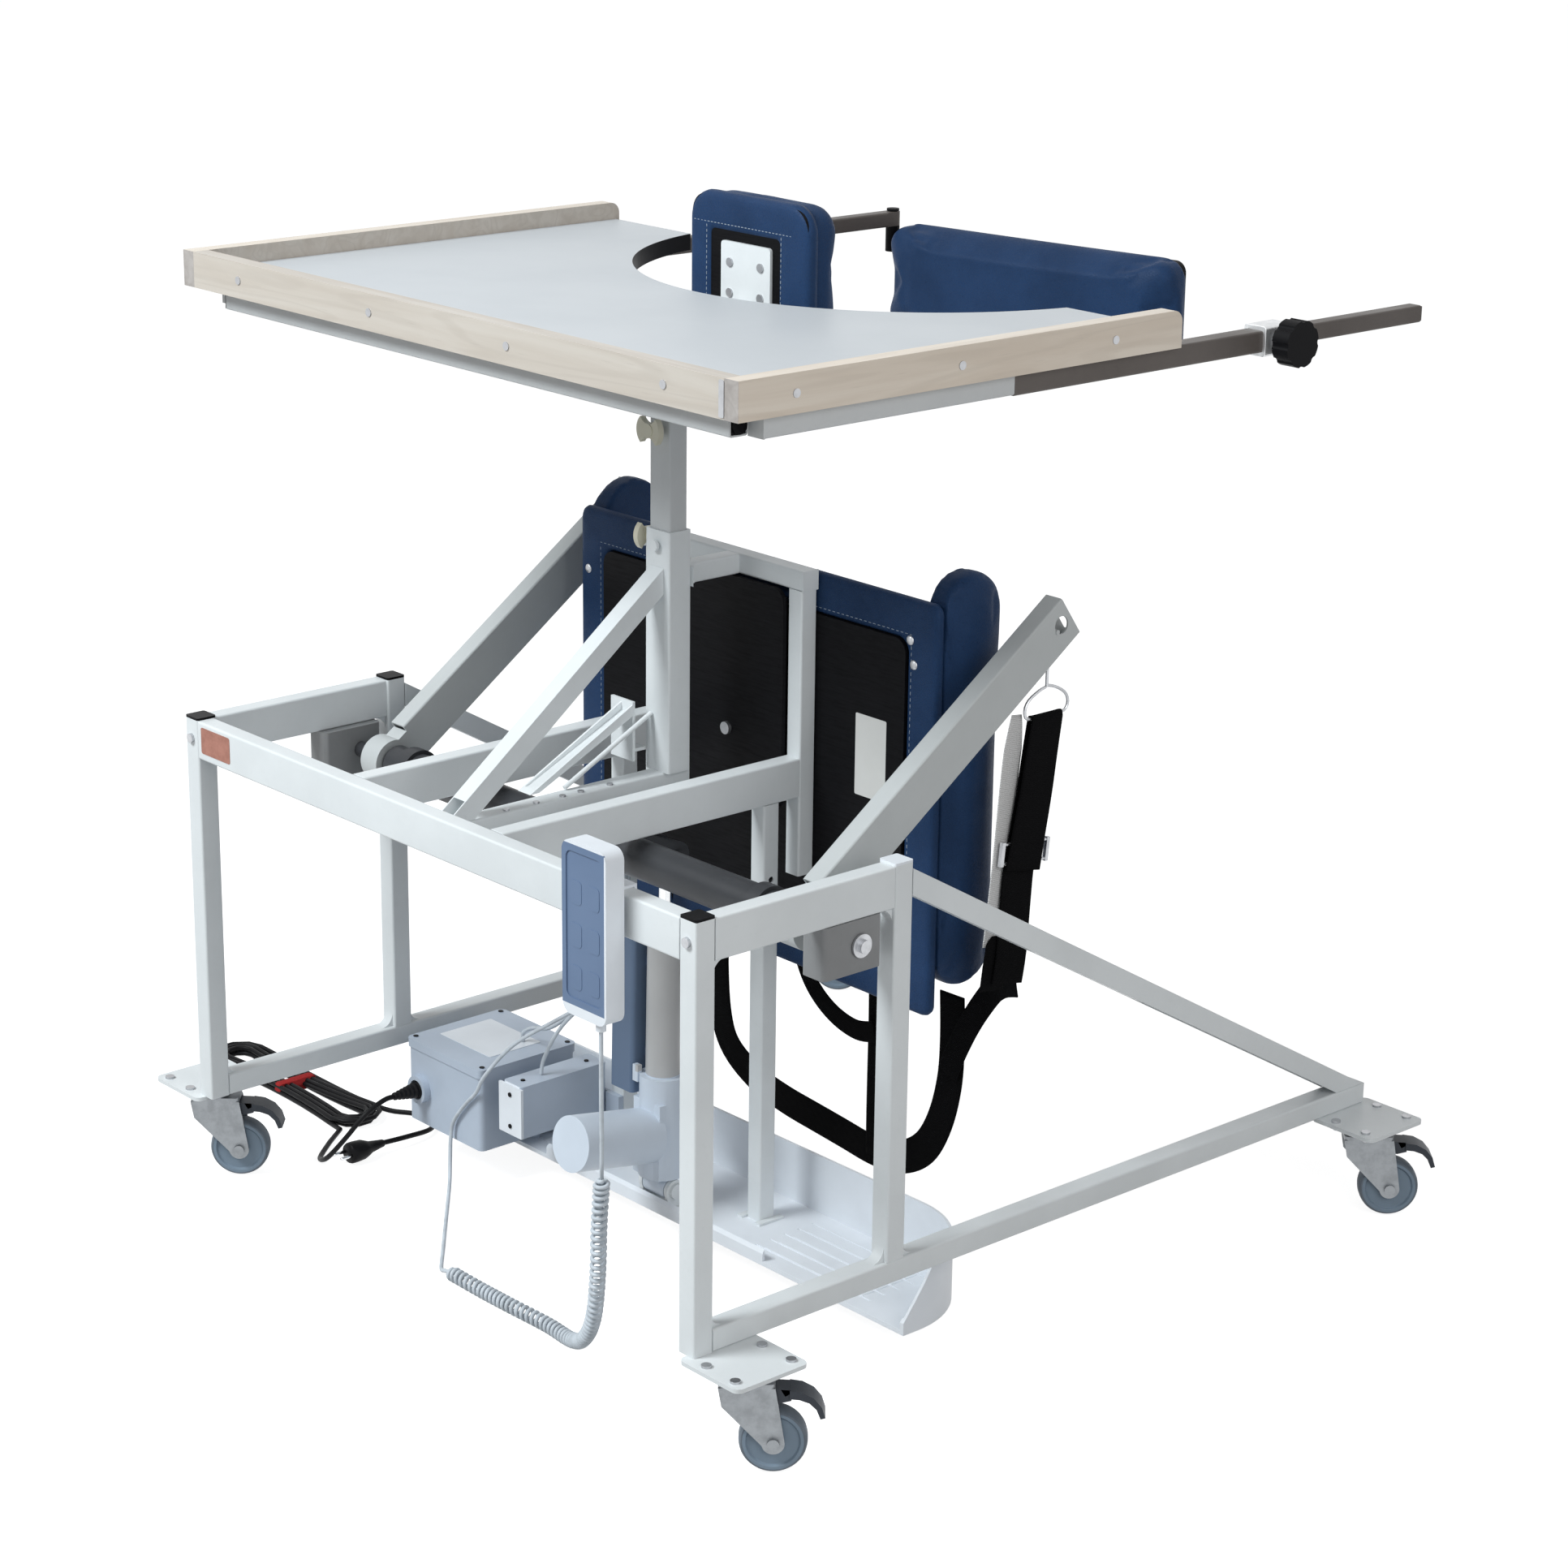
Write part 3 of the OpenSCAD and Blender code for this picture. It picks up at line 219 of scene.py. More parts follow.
def plated(name, color, rough=0.3, spread=0.12):
    """Zinc plate: cloudy crystals and fine drawing marks."""
    s = Shader(name)
    cloud = s.noise(60.0, 5.0, 0.65)
    marks = s.noise(220.0, 3.0, 0.6, s.stretch((1.0, 1.0, 6.0)))
    tone = s.mix(s.span(cloud, 0.35, 0.7), rgba(color, 1.0 + spread * 0.4), rgba(color, 1.0 - spread))
    shine = s.math("ADD", s.span(cloud, 0.3, 0.7, rough - 0.06, rough + 0.08), s.span(marks, 0.4, 0.8, 0.0, 0.06))
    return s.finish(tone, shine, s.bump(marks, 0.00003), metallic=1.0)


def plastic(name, color, rough=0.42, grain=900.0, depth=0.00003, spread=0.06, specular=0.4):
    """Moulded plastic: spark-eroded grain, slight flow clouds."""
    s = Shader(name)
    cloud = s.noise(9.0, 4.0)
    tone = s.mix(s.span(cloud, 0.3, 0.75), rgba(color, 1.0 + spread * 0.5), rgba(color, 1.0 - spread))
    shine = s.span(cloud, 0.3, 0.7, rough - 0.04, rough + 0.06)
    return s.finish(tone, shine, s.bump(s.noise(grain, 3.0, 0.7), depth), specular=specular)


def board(name, color):
    """Painted plywood: brushed paint over a faint long grain."""
    s = Shader(name)
    grain = s.noise(30.0, 6.0, 0.7, s.stretch((1.0, 1.0, 14.0)))
    tone = s.mix(s.span(grain, 0.35, 0.75), rgba(color, 1.3), rgba(color, 0.7))
    return s.finish(tone, s.span(grain, 0.3, 0.8, 0.42, 0.6), s.bump(grain, 0.00012), specular=0.06)


def laminate(name, color):
    """Matt laminate: faint clouds and fine pores."""
    s = Shader(name)
    cloud = s.noise(4.0, 5.0)
    pores = s.cells(900.0)
    tone = s.mix(s.span(cloud, 0.35, 0.7), rgba(color), rgba(color, 0.965))
    return s.finish(tone, s.span(cloud, 0.3, 0.7, 0.4, 0.5), s.bump(pores, 0.00001), specular=0.3)


def beech(name, pale, dark):
    """Lacquered beech. The side rails run along Y and the front rail along X; the side rails are also painted darker
    and bluer, as painted shade.
    """
    s = Shader(name)
    x = s.axis("X")
    is_side = s.math("GREATER_THAN", s.math("ABSOLUTE", s.math("ADD", x, -SHIFT.x)), 0.498)
    pick = s.node("ShaderNodeMix", data_type="VECTOR")
    s.link(is_side, pick.inputs["Factor"])
    s.link(s.stretch((2.2, 34.0, 34.0)), pick.inputs[4])
    s.link(s.stretch((34.0, 2.2, 34.0)), pick.inputs[5])
    run = pick.outputs[1]
    figure = s.noise(1.0, 5.0, 0.6, run, 0.6)
    lines = s.math("SINE", s.math("MULTIPLY", s.noise(0.55, 2.0, 0.5, run, 0.3), 60.0))
    flecks = s.cells(5.0, vector=run)
    tone = s.mix(s.span(figure, 0.3, 0.72), rgba(pale), rgba(dark))
    tone = s.mix(s.span(lines, 0.1, 1.0, 0.0, 0.28), tone, rgba(dark, 0.86))
    tone = s.mix(s.span(flecks, 0.0, 0.16, 0.22, 0.0), tone, rgba(dark, 0.62))
    # Painted shade: the side rails' tone is multiplied darker and bluer than the front rail's
    tone = s.mix(is_side, s.mix(1.0, tone, (0.74, 0.76, 0.79, 1.0), "MULTIPLY"), tone)
    height = s.math("ADD", figure, s.math("MULTIPLY", flecks, 0.3))
    return s.finish(tone, s.span(figure, 0.3, 0.7, 0.34, 0.46), s.bump(height, 0.00018), coat=0.15, coat_rough=0.25)


def vinyl(name, color):
    """Upholstery vinyl: pebbled leather grain, soft sheen on the crests, and painted shade darkening the creases."""
    s = Shader(name)
    pebble = s.cells(520.0, "SMOOTH_F1")
    crease = s.cells(300.0, "DISTANCE_TO_EDGE")
    cloud = s.noise(7.0, 5.0, 0.6)
    tone = s.mix(s.span(cloud, 0.3, 0.72), rgba(color, 1.18), rgba(color, 0.8))
    # Painted shade: the creases of the grain are painted darker
    tone = s.mix(s.span(crease, 0.0, 0.06, 0.35, 0.0), tone, rgba(color, 0.45))
    shine = s.math("ADD", s.span(cloud, 0.3, 0.7, 0.42, 0.54), s.span(pebble, 0.2, 0.7, 0.0, 0.08))
    height = s.math("SUBTRACT", s.span(crease, 0.0, 0.09), s.math("MULTIPLY", pebble, 0.35))
    return s.finish(tone, shine, s.bump(height, 0.00016), specular=0.12)


def webbing(name, color, along=1500.0, depth=0.00035):
    """Woven strap: herringbone ribs along UV, with a pale fuzz."""
    s = Shader(name)
    uv = s.node("ShaderNodeUVMap", uv_map="UVMap").outputs[0]
    u, v = s.axis("X", uv), s.axis("Y", uv)
    rib = s.math("SINE", s.math("MULTIPLY", u, along * 2.4))
    slant = s.math("SINE", s.math("ADD", s.math("MULTIPLY", v, along * 2.2), s.math("MULTIPLY", u, along * 1.2)))
    weave = s.math("MULTIPLY", s.math("ADD", rib, s.math("MULTIPLY", slant, 0.8)), 0.5)
    fuzz = s.noise(500.0, 3.0)
    tone = s.mix(s.span(weave, -0.6, 0.8), rgba(color, 0.6), rgba(color, 1.35))
    tone = s.mix(s.span(fuzz, 0.4, 0.75, 0.0, 0.3), tone, rgba(color, 2.0))
    return s.finish(tone, 0.78, s.bump(weave, depth), specular=0.04, sheen=0.004)


def rubber_cord(name, color, rough=0.45, specular=0.3):
    """Soft moulded sheath with a cloudy, slightly worn shine."""
    s = Shader(name)
    cloud = s.noise(45.0, 4.0)
    tone = s.mix(s.span(cloud, 0.35, 0.7), rgba(color, 1.08), rgba(color, 0.88))
    return s.finish(tone, s.span(cloud, 0.3, 0.7, rough - 0.05, rough + 0.08), s.bump(s.noise(700.0, 3.0), 0.00002),
                    specular=specular)


def masked(name, base, *layers):
    """One material for a node of several finishes: each (material, chooser) layer covers where its chooser is 1."""
    made = bpy.data.materials.new(name)
    made.use_nodes = True
    tree = made.node_tree
    tree.nodes.remove(tree.nodes["Principled BSDF"])
    shader = copied_shader(tree, base)
    for material, chooser in layers:
        blend = tree.nodes.new("ShaderNodeMixShader")
        tree.links.new(shader, blend.inputs[1])
        tree.links.new(copied_shader(tree, material), blend.inputs[2])
        tree.links.new(chooser(tree), blend.inputs[0])
        shader = blend.outputs[0]
    tree.links.new(shader, tree.nodes["Material Output"].inputs[0])
    return made


def copied_shader(tree, material):
    """Copies a finish's nodes into the tree and returns its shader output."""
    copies = {}
    for old in material.node_tree.nodes:
        if old.bl_idname != "ShaderNodeOutputMaterial":
            copies[old.name] = tree.nodes.new(old.bl_idname)
            copy_settings(old, copies[old.name])
    for old in material.node_tree.links:
        if old.to_node.name in copies and old.from_node.name in copies:
            source = copies[old.from_node.name].outputs[socket_index(old.from_node.outputs, old.from_socket)]
            target = copies[old.to_node.name].inputs[socket_index(old.to_node.inputs, old.to_socket)]
            tree.links.new(source, target)
    return copies["Principled BSDF"].outputs[0]


def socket_index(sockets, wanted):
    return [s.identifier for s in sockets].index(wanted.identifier)


def copy_settings(old, new):
    for key in ("operation", "use_clamp", "data_type", "blend_type", "interpolation_type", "feature", "clamp",
                "uv_map"):
        if hasattr(old, key):
            setattr(new, key, getattr(old, key))
    for a, b in zip(old.inputs, new.inputs):
        if hasattr(a, "default_value") and not a.is_linked:
            b.default_value = a.default_value


def test_box(low, high):
    """A chooser: 1 inside the box; None leaves a side open."""

    def build(tree):
        place = tree.nodes.new("ShaderNodeTexCoord").outputs["Object"]
        split = tree.nodes.new("ShaderNodeSeparateXYZ")
        tree.links.new(place, split.inputs[0])
        found = None
        for limits, operation in ((low, "GREATER_THAN"), (high, "LESS_THAN")):
            for k, limit in enumerate(limits):
                if limit is not None:
                    inside = math_node(tree, operation, split.outputs[k], limit)
                    found = inside if found is None else math_node(tree, "MULTIPLY", found, inside)
        return found

    return build


def test_side(axis, above=None, below=None):
    """A chooser: 1 where one coordinate, 0 to 2, lies above or below a value in metres."""
    low, high = [None] * 3, [None] * 3
    low[axis], high[axis] = above, below
    return test_box(low, high)


def test_near(center, radius):
    """A chooser: 1 within the radius of a point."""

    def build(tree):
        place = tree.nodes.new("ShaderNodeTexCoord").outputs["Object"]
        away = tree.nodes.new("ShaderNodeVectorMath")
        away.operation = "DISTANCE"
        away.inputs[1].default_value = center
        tree.links.new(place, away.inputs[0])
        return math_node(tree, "LESS_THAN", away.outputs["Value"], radius)

    return build


WHITE = paint("white_powder_coat", (0.75, 0.785, 0.80))
GREY = paint("light_grey_paint", (0.58, 0.60, 0.61), 0.4)
BLOCK_GREY = paint("cast_grey_paint", (0.24, 0.245, 0.25), 0.42, 0.12)
ARM_GREY = paint("arm_grey_paint", (0.52, 0.545, 0.55), 0.4)
BRONZE = paint("dark_bronze_paint", (0.115, 0.10, 0.092), 0.4, 0.15, specular=0.25)
GRAPHITE = paint("graphite_paint", (0.045, 0.047, 0.052), 0.38, 0.15, specular=0.2)
ZINC = plated("zinc_plate", (0.50, 0.51, 0.53), 0.36)
CHROME = plated("bright_chrome", (0.78, 0.79, 0.8), 0.12, 0.05)
FORK_STEEL = plated("fork_steel", (0.27, 0.285, 0.30), 0.45)
WHITE_PLASTIC = plastic("white_moulding", (0.82, 0.86, 0.91), 0.38, 500.0)
PEDAL_GREY = plastic("dark_pedal_moulding", (0.045, 0.052, 0.064), 0.45, specular=0.25)
CLAMP_METAL = plated("cast_clamp", (0.74, 0.75, 0.76), 0.5)
BLUE_GREY = plastic("blue_grey_moulding", (0.49, 0.56, 0.66))
STEEL_BLUE = plastic("steel_blue_moulding", (0.13, 0.185, 0.28), specular=0.2)
FACE_BLUE = plastic("face_blue_moulding", (0.14, 0.205, 0.33), specular=0.2)
PALE_BLUE = plastic("pale_blue_moulding", (0.64, 0.71, 0.80))
TUBE_GREY = plastic("tube_grey_anodised", (0.50, 0.50, 0.50), 0.36)
BLACK_PLASTIC = plastic("black_moulding", (0.004, 0.004, 0.005), 0.4, specular=0.07)
CREAM = plastic("cream_moulding", (0.68, 0.65, 0.52), 0.35)
BOARD = board("black_board", (0.005, 0.005, 0.006))
LAMINATE = laminate("white_laminate", (0.585, 0.615, 0.645))
BEECH = beech("pale_beech", (0.80, 0.72, 0.62), (0.70, 0.61, 0.51))
END_GRAIN = beech("beech_end_grain", (0.44, 0.41, 0.39), (0.33, 0.30, 0.28))
THREAD = webbing("pale_thread", (0.36, 0.42, 0.50))
NAVY = vinyl("navy_vinyl", (0.014, 0.040, 0.105))
STRAP = webbing("black_webbing", (0.0022, 0.0022, 0.0026))
PALE_STRAP = webbing("off_white_webbing", (0.86, 0.85, 0.84))
CORD_GREY = rubber_cord("grey_cord_sheath", (0.56, 0.61, 0.66))
CORD_BLACK = rubber_cord("black_cord_sheath", (0.006, 0.006, 0.007), specular=0.12)
WHEEL = plastic("grey_blue_wheel", (0.20, 0.265, 0.335), 0.5)
WHEEL_EDGE = rubber_cord("grey_blue_tread", (0.15, 0.18, 0.215), 0.6)
PLATE = plated("tinted_plate", (0.36, 0.17, 0.13), 0.42)


# --- Mesh builders ---


def face_outward(mesh):
    fix = bmesh.new()
    fix.from_mesh(mesh)
    bmesh.ops.recalc_face_normals(fix, faces=fix.faces)
    fix.to_mesh(mesh)
    fix.free()


def shade(mesh, smooth):
    mesh.polygons.foreach_set("use_smooth", [smooth] * len(mesh.polygons))


def turns(count):
    """Angles of equal steps round a circle."""
    return [2 * math.pi * j / count for j in range(count)]


def make_object(name, verts, faces, material, uvs=None):
    """An object from points in metres; uvs hold one pair for each vertex."""
    mesh = bpy.data.meshes.new(name)
    mesh.from_pydata([tuple(v) for v in verts], [], faces)
    mesh.validate()
    if uvs:
        layer = mesh.uv_layers.new(name="UVMap")
        for loop in mesh.loops:
            layer.data[loop.index].uv = uvs[loop.vertex_index]
    shade(mesh, True)
    obj = bpy.data.objects.new(name, mesh)
    obj.data.materials.append(material)
    bpy.context.scene.collection.objects.link(obj)
    face_outward(mesh)
    return obj


def smooth_path(points, steps):
    """Curve through the points, the same as the part's source draws."""
    P = [Vector(p) for p in points]
    out = []
    for i in range(len(P) - 1):
        p0, p1, p2, p3 = P[max(i - 1, 0)], P[i], P[i + 1], P[min(i + 2, len(P) - 1)]
        for k in range(steps):
            t = k / steps
            out.append(0.5 * (2 * p1 + (p2 - p0) * t + (2 * p0 - 5 * p1 + 4 * p2 - p3) * t * t
                              + (3 * p1 - p0 - 3 * p2 + p3) * t**3))
    return out + [P[-1]]


def tangent(P, i):
    return (P[min(i + 1, len(P) - 1)] - P[max(i - 1, 0)]).normalized()


def side_vectors(P, start):
    """Side vectors carried along a path without twist."""
    out, n = [], Vector(start)
    for i in range(len(P)):
        t = tangent(P, i)
        n = (n - n.dot(t) * t).normalized()
        out.append(n)
    return out


def loft(name, rings, material, closed=False, uvs=None):
    """A skin over rings of points that all have the same count."""
    n = len(rings[0])
    verts = [p for ring in rings for p in ring]
    faces = []
    for i in range(len(rings) if closed else len(rings) - 1):
        a, b = i * n, ((i + 1) % len(rings)) * n
        faces += [(a + j, a + (j + 1) % n, b + (j + 1) % n, b + j) for j in range(n)]
    if not closed:
        faces += [tuple(range(n)), tuple(reversed(range(len(verts) - n, len(verts))))]
    return make_object(name, verts, faces, material, uvs)


FIRST_SIDE = (0.3, 0.2, 0.93)


def tube(name, path, radii, material, sides):
    """A round tube with a radius for each point of its path."""
    rings = []
    for i, (p, n, r) in enumerate(zip(path, side_vectors(path, FIRST_SIDE), radii)):
        b = tangent(path, i).cross(n)
        rings.append([p + r * (math.cos(a) * n + math.sin(a) * b) for a in turns(sides)])
    return loft(name, rings, material)


def ribbon(name, stations, thickness, material):
    """Webbing through (centre, width direction, half width) stations, with rounded selvedges."""
    centres = [s[0] for s in stations]
    rings, uvs, run = [], [], 0.0
    for i, (p, across, half) in enumerate(stations):
        if i:
            run += (centres[i] - centres[i - 1]).length
        t = tangent(centres, i)
        across = (across - across.dot(t) * t).normalized()
        up = across.cross(t)
        ring = []
        for u, w in RIBBON_SECTION:
            ring.append(p + across * (half * u) + up * (thickness / 2 * w))
            uvs.append((run, half * u))
        rings.append(ring)
    return loft(name, rings, material, uvs=uvs)


RIBBON_SECTION = [(-1.0, 0.0), (-0.97, 0.75), (-0.9, 1.0), (-0.45, 0.92), (0.0, 0.96), (0.45, 0.92), (0.9, 1.0),
                  (0.97, 0.75), (1.0, 0.0), (0.97, -0.75), (0.9, -1.0), (0.45, -0.92), (0.0, -0.96), (-0.45, -0.92),
                  (-0.9, -1.0), (-0.97, -0.75)]


def rounded_loop(a, b, r, m):
    """Points (u, v) of a rounded rectangle with half sizes a and b."""
    out = []
    for q in range(4):
        sx, sy = (1 if q in (0, 3) else -1), (1 if q < 2 else -1)
        for k in range(m + 1):
            t = math.radians(q * 90 + 90 * k / m)
            out.append((sx * (a - r) + r * math.cos(t), sy * (b - r) + r * math.sin(t)))
    return out


def make_sticker(name, corner, width, height, thick, body):
    """A thin blank sticker across Y with rounded corners; corner is its low corner in metres."""
    a, b = width / 2, height / 2
    middle = corner + Vector((a, thick / 2, b))
    rings = []
    for depth, inset in ((-thick / 2, 0.0), (thick * 0.25, 0.0), (thick / 2, thick * 0.5)):
        rings.append([middle + Vector((u * (1 - inset / a), depth, v * (1 - inset / b)))
                      for u, v in rounded_loop(a, b, 0.002, 4)])
    sticker = loft(name, rings, plastic("sticker_film", (0.72, 0.72, 0.70)))
    shade(sticker.data, False)
    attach(sticker, body)


# --- Cords ---

# The part's source has 8 points a curl; here there are this many times as many
CURLS_FINER = 2
CURL_POINTS = 8 * CURLS_FINER
CURL_RADIUS = 7.4
THIN_CORD, MAINS_CORD = 0.0026, 0.0035
curl_line = smooth_path([(360, -374, 308), (350, -370, 250), (322, -350, 170), (283, -325, 95), (235, -300, 42),
                         (190, -283, 16), (130, -274, 10.6), (60, -276, 10.6), (0, -277, 10.6),
                         (-64, -276, 10.6)], 60 * CURLS_FINER)
curls = []
for i, (p, n) in enumerate(zip(curl_line, side_vectors(curl_line, FIRST_SIDE))):
    b = tangent(curl_line, i).cross(n)
    turn = math.radians(360 / CURL_POINTS * i)
    r = CURL_RADIUS * min(1, i / CURL_POINTS, (len(curl_line) - 1 - i) / CURL_POINTS)
    curls.append(p + r * (math.cos(turn) * n + math.sin(turn) * b))
lead_in = smooth_path([(361, -375, 488), (361, -375, 476), (361, -375, 440), (361, -375, 400), (360.5, -374, 360),
                       (360, -374, 325)], 2)
lead_out = smooth_path([(-78, -275.5, 8), (-94, -268, 3.4), (-140, -231, 3.4), (-196, -186, 3.4),
                        (-248, -144, 3.4), (-284, -114, 12), (-304, -98, 34), (-312, -90.5, 60), (-308, -88, 84),
                        (-282, -88, 116), (-258, -88, 140), (-240, -86, 170), (-206, -64, 218), (-152, -32, 262),
                        (-120, -5, 290), (-92, 12, 330), (-84, 16, 370), (-82, 14, 412), (-66, 4, 470),
                        (-48, -8, 530), (-34, -18, 590)], 5)
BOX_LEAD_1 = smooth_path([(-194, -30, 172), (-190, -27, 196), (-165, -18, 244), (-126, 2, 292), (-98, 22, 332),
                          (-90, 26, 372), (-88, 24, 414), (-70, 12, 474), (-50, 0, 534), (-34, -8, 590)], 5)
BOX_LEAD_2 = smooth_path([(-300, 22, 171.6), (-299, 22, 184), (-276, 20, 198), (-230, 14, 214), (-178, 12, 252),
                          (-134, 22, 292), (-106, 34, 334), (-98, 36, 374), (-95, 34, 416), (-76, 22, 476),
                          (-54, 10, 536), (-34, 2, 590)], 5)


def lay_cord(name, points, radius, material, node, exit_at, **facts):
    """A free cord as one open spline through points in millimetres."""
    path = [at(*p) for p in points]
    data = bpy.data.curves.new(name, "CURVE")
    data.dimensions = "3D"
    data.bevel_depth = radius
    data.bevel_resolution = 3
    data.use_fill_caps = True
    spline = data.splines.new("POLY")
    spline.points.add(len(path) - 1)
    spline.use_smooth = True
    for point, p in zip(spline.points, path):
        point.co = (*p, 1)
    data.materials.append(material)
    obj = bpy.data.objects.new(name, data)
    bpy.context.scene.collection.objects.link(obj)
    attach(obj, "frame")
    if node:
        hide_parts(node)


lay_cord("handset_cable", [*lead_in, *curls, *lead_out, (-17, -20, 612)], THIN_CORD, CORD_GREY, "handset_cord",
         at(361, -375, 488), far_end="object", stiffness="limp", lay="hanging")
lay_cord("box_lead_1", [*BOX_LEAD_1, (-17, -8, 612)], THIN_CORD, CORD_GREY, None, at(-194, -30, 172),
         far_end="object", stiffness="limp", lay="hanging")
lay_cord("box_lead_2", [*BOX_LEAD_2, (-17, 4, 612)], THIN_CORD, CORD_GREY, None, at(-300, 22, 171.6),
         far_end="object", stiffness="limp", lay="hanging")

HANK_AT = (-700, -75)
HANK_LAY = [16.6, 8.3, 0, 0, 8.3, 16.6]


def hank_point(f):
    """A point of the tied hank: six long loops in two layers, drawn in by the tie."""
    i = math.floor(f)
    u = (f - i) * 24
    o0, o1 = HANK_LAY[min(i, 5)], HANK_LAY[min(i + 1, 5)]
    off = o0 + (o1 - o0) * (u - 12) / 7 if 12 < u < 19 else (o1 if u >= 19 else o0)
    z = 4.6 if i < 2 else 4.6 + 8 * max(0, min(1, (u - 12) / 7)) if i == 2 else 12.6
    w = 20 + off
    g = 1 - 2 * u / 7 if u < 7 else (2 * (u - 12) / 7 - 1 if 12 < u < 19 else 0)
    pull = 9 * (1 - g * g) if u < 7 or 12 < u < 19 else 0
    x, y = HANK_AT
    if u <= 7:
        return (x + 140 - 40 * u, y - w + pull, z)
    if u < 12:
        a = math.radians((u - 7) * 36)
        return (x - 140 - w * math.sin(a), y - w * math.cos(a), z)
    if u <= 19:
        return (x - 140 + 40 * (u - 12), y + w - pull, z)
    a = math.radians((u - 19) * 36)
    return (x + 140 + w * math.sin(a), y + w * math.cos(a), z)


hank = [hank_point(k / 24) for k in range(5 * 24 + 12)]
drop = smooth_path([(-385, -130.2, 105), (-385, -146, 104), (-388, -174, 90), (-401, -198, 58), (-430, -207, 24),
                    (-470, -192, 6), (-508, -150, 4.6)], 5)
tail = smooth_path([(-840, -38.4, 12.6), (-800, -35, 9.5), (-750, -33, 5), (-660, -32, 3.7), (-600, -30, 3.7),
                    (-548, -22, 3.7), (-515, -2, 3.8), (-478, 0, 5), (-448, -26, 9), (-438, -70, 14),
                    (-438, -110, 16)], 5)


def make_plug():
    """Moulded plug body with a tapered grip, two pins, lying at the end of the cord."""
    x, z = -438, 16
    rings = []
    for y, rx, rz in ((-110, 4, 4), (-112, 5.2, 5.2), (-118, 6.2, 5.8), (-126, 8, 7), (-133, 9.5, 8),
                      (-139, 12.5, 10.5), (-146, 14.5, 13.5), (-158, 15, 14.5), (-165, 14.6, 14.4), (-168, 13.2, 13)):
        rings.append([at(x + rx * math.cos(a), y, z + rz * math.sin(a)) for a in turns(32)])
    body = loft("plug_body", rings, CORD_BLACK)
    pins = []
    for k, px in enumerate((-447, -429)):
        steps = [(-167, 2.4), (-176, 2.4), (-184, 2.4), (-186.3, 2.0), (-187, 1.0)]
        pins.append(tube(f"plug_pin_{k + 1}", [at(px, y, z) for y, _ in steps], [r / 1000 for _, r in steps],
                         CHROME, 16))
    return [body, *pins]


def make_strain_relief():
    """Ribbed, tapered sleeve out of the control box."""
    rings = []
    for k in range(46):
        y = -84.5 - k
        base = 13 - 8 * k / 45
        groove = 0.8 if (k // 3) % 2 and 6 < k < 42 else 0.0
        r = base - groove
        rings.append([at(-385 + r * math.cos(a), y, 105 + r * math.sin(a)) for a in turns(32)])
    return loft("strain_relief", rings, CORD_BLACK)


def make_tie():
    """A soft red tie round the waist of the hank."""
    x, y = HANK_AT
    loop = rounded_loop(30.5, 8.6, 5.5, 6)
    rings = []
    for px, grow in ((-7, -0.8), (-5.5, 0.2), (0, 0.5), (5.5, 0.2), (7, -0.8)):
        rings.append([at(x + px + 0.6 * math.sin(3 * k), y + u + grow * (1 if u > 0 else -1),
                         9.2 + v + grow * (1 if v > 0 else 0)) for k, (u, v) in enumerate(loop)])
    return loft("hank_tie", rings, webbing("red_tie", (0.35, 0.03, 0.03)))


plug_parts = make_plug()
strain_relief, hank_tie = make_strain_relief(), make_tie()
for piece in (*plug_parts, strain_relief, hank_tie):
    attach(piece, "frame")
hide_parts("cord_fittings")
lay_cord("mains_cable", [*drop, (-535, -114, 4.6), *hank, *tail, (-438, -118, 16)], MAINS_CORD, CORD_BLACK,
         "mains_cord", at(-385, -130.2, 105), far_end="plug", stiffness="medium", lay="coiled",
         with_pieces=[*plug_parts, strain_relief, hank_tie])


# --- Upholstery ---

SIM_FRAMES = 20
PAD_PRESSURE = 4.0
PAD_SHRINK = 3.0  # how much smaller, in millimetres, a pad is before it swells


def cushion_rings(w, h, t, crown, r, inset):
    """Rings (x, y, z) of a pad with a flat back at Y 0 and a crowned front."""
    profile = [(3, 0), (0, 4), (0.6, t * 0.3), (0, t * 0.6), (3, t * 0.82), (9, t * 0.94), (20, t),
               (w * 0.16 + 12, t + crown * 0.6), (min(w, h) * 0.36, t + crown)]
    rings = []
    for d, y in profile:
        far = h / max(w, h) if d > 20 else 1
        loop = rounded_loop(w / 2 - inset - d, h / 2 - inset - d * far, max(r - d, 4), 8)
        rings.append([Vector((u, y, v)) for u, v in loop])
    return rings


def swell(obj, cap):
    """Blows the pad up as cloth with its back held, and applies the result."""
    group = obj.vertex_groups.new(name="held")
    group.add([v.index for v in obj.data.vertices if v.co.y < 0.0015], 1.0, "REPLACE")
    cloth = obj.modifiers.new("swell", "CLOTH")
    cloth.settings.quality = 4
    cloth.settings.use_pressure = True
    cloth.settings.uniform_pressure_force = PAD_PRESSURE
    cloth.settings.effector_weights.gravity = 0
    cloth.settings.vertex_group_mass = "held"
    cloth.settings.tension_stiffness = 12
    cloth.settings.compression_stiffness = 12
    cloth.settings.bending_stiffness = 0.8
    cloth.collision_settings.use_collision = False
    cloth.point_cache.frame_start = 1
    cloth.point_cache.frame_end = SIM_FRAMES
    start = [v.co.copy() for v in obj.data.vertices]
    for number in range(1, SIM_FRAMES + 1):
        bpy.context.scene.frame_set(number)
    shape = obj.evaluated_get(bpy.context.evaluated_depsgraph_get()).to_mesh()
    moved = [v.co.copy() for v in shape.vertices]
    obj.modifiers.remove(cloth)
    for v, a, b in zip(obj.data.vertices, start, moved):
        step = b - a
        if step.length > cap:
            step *= cap / step.length
        v.co = a + step
    bpy.context.scene.frame_set(1)


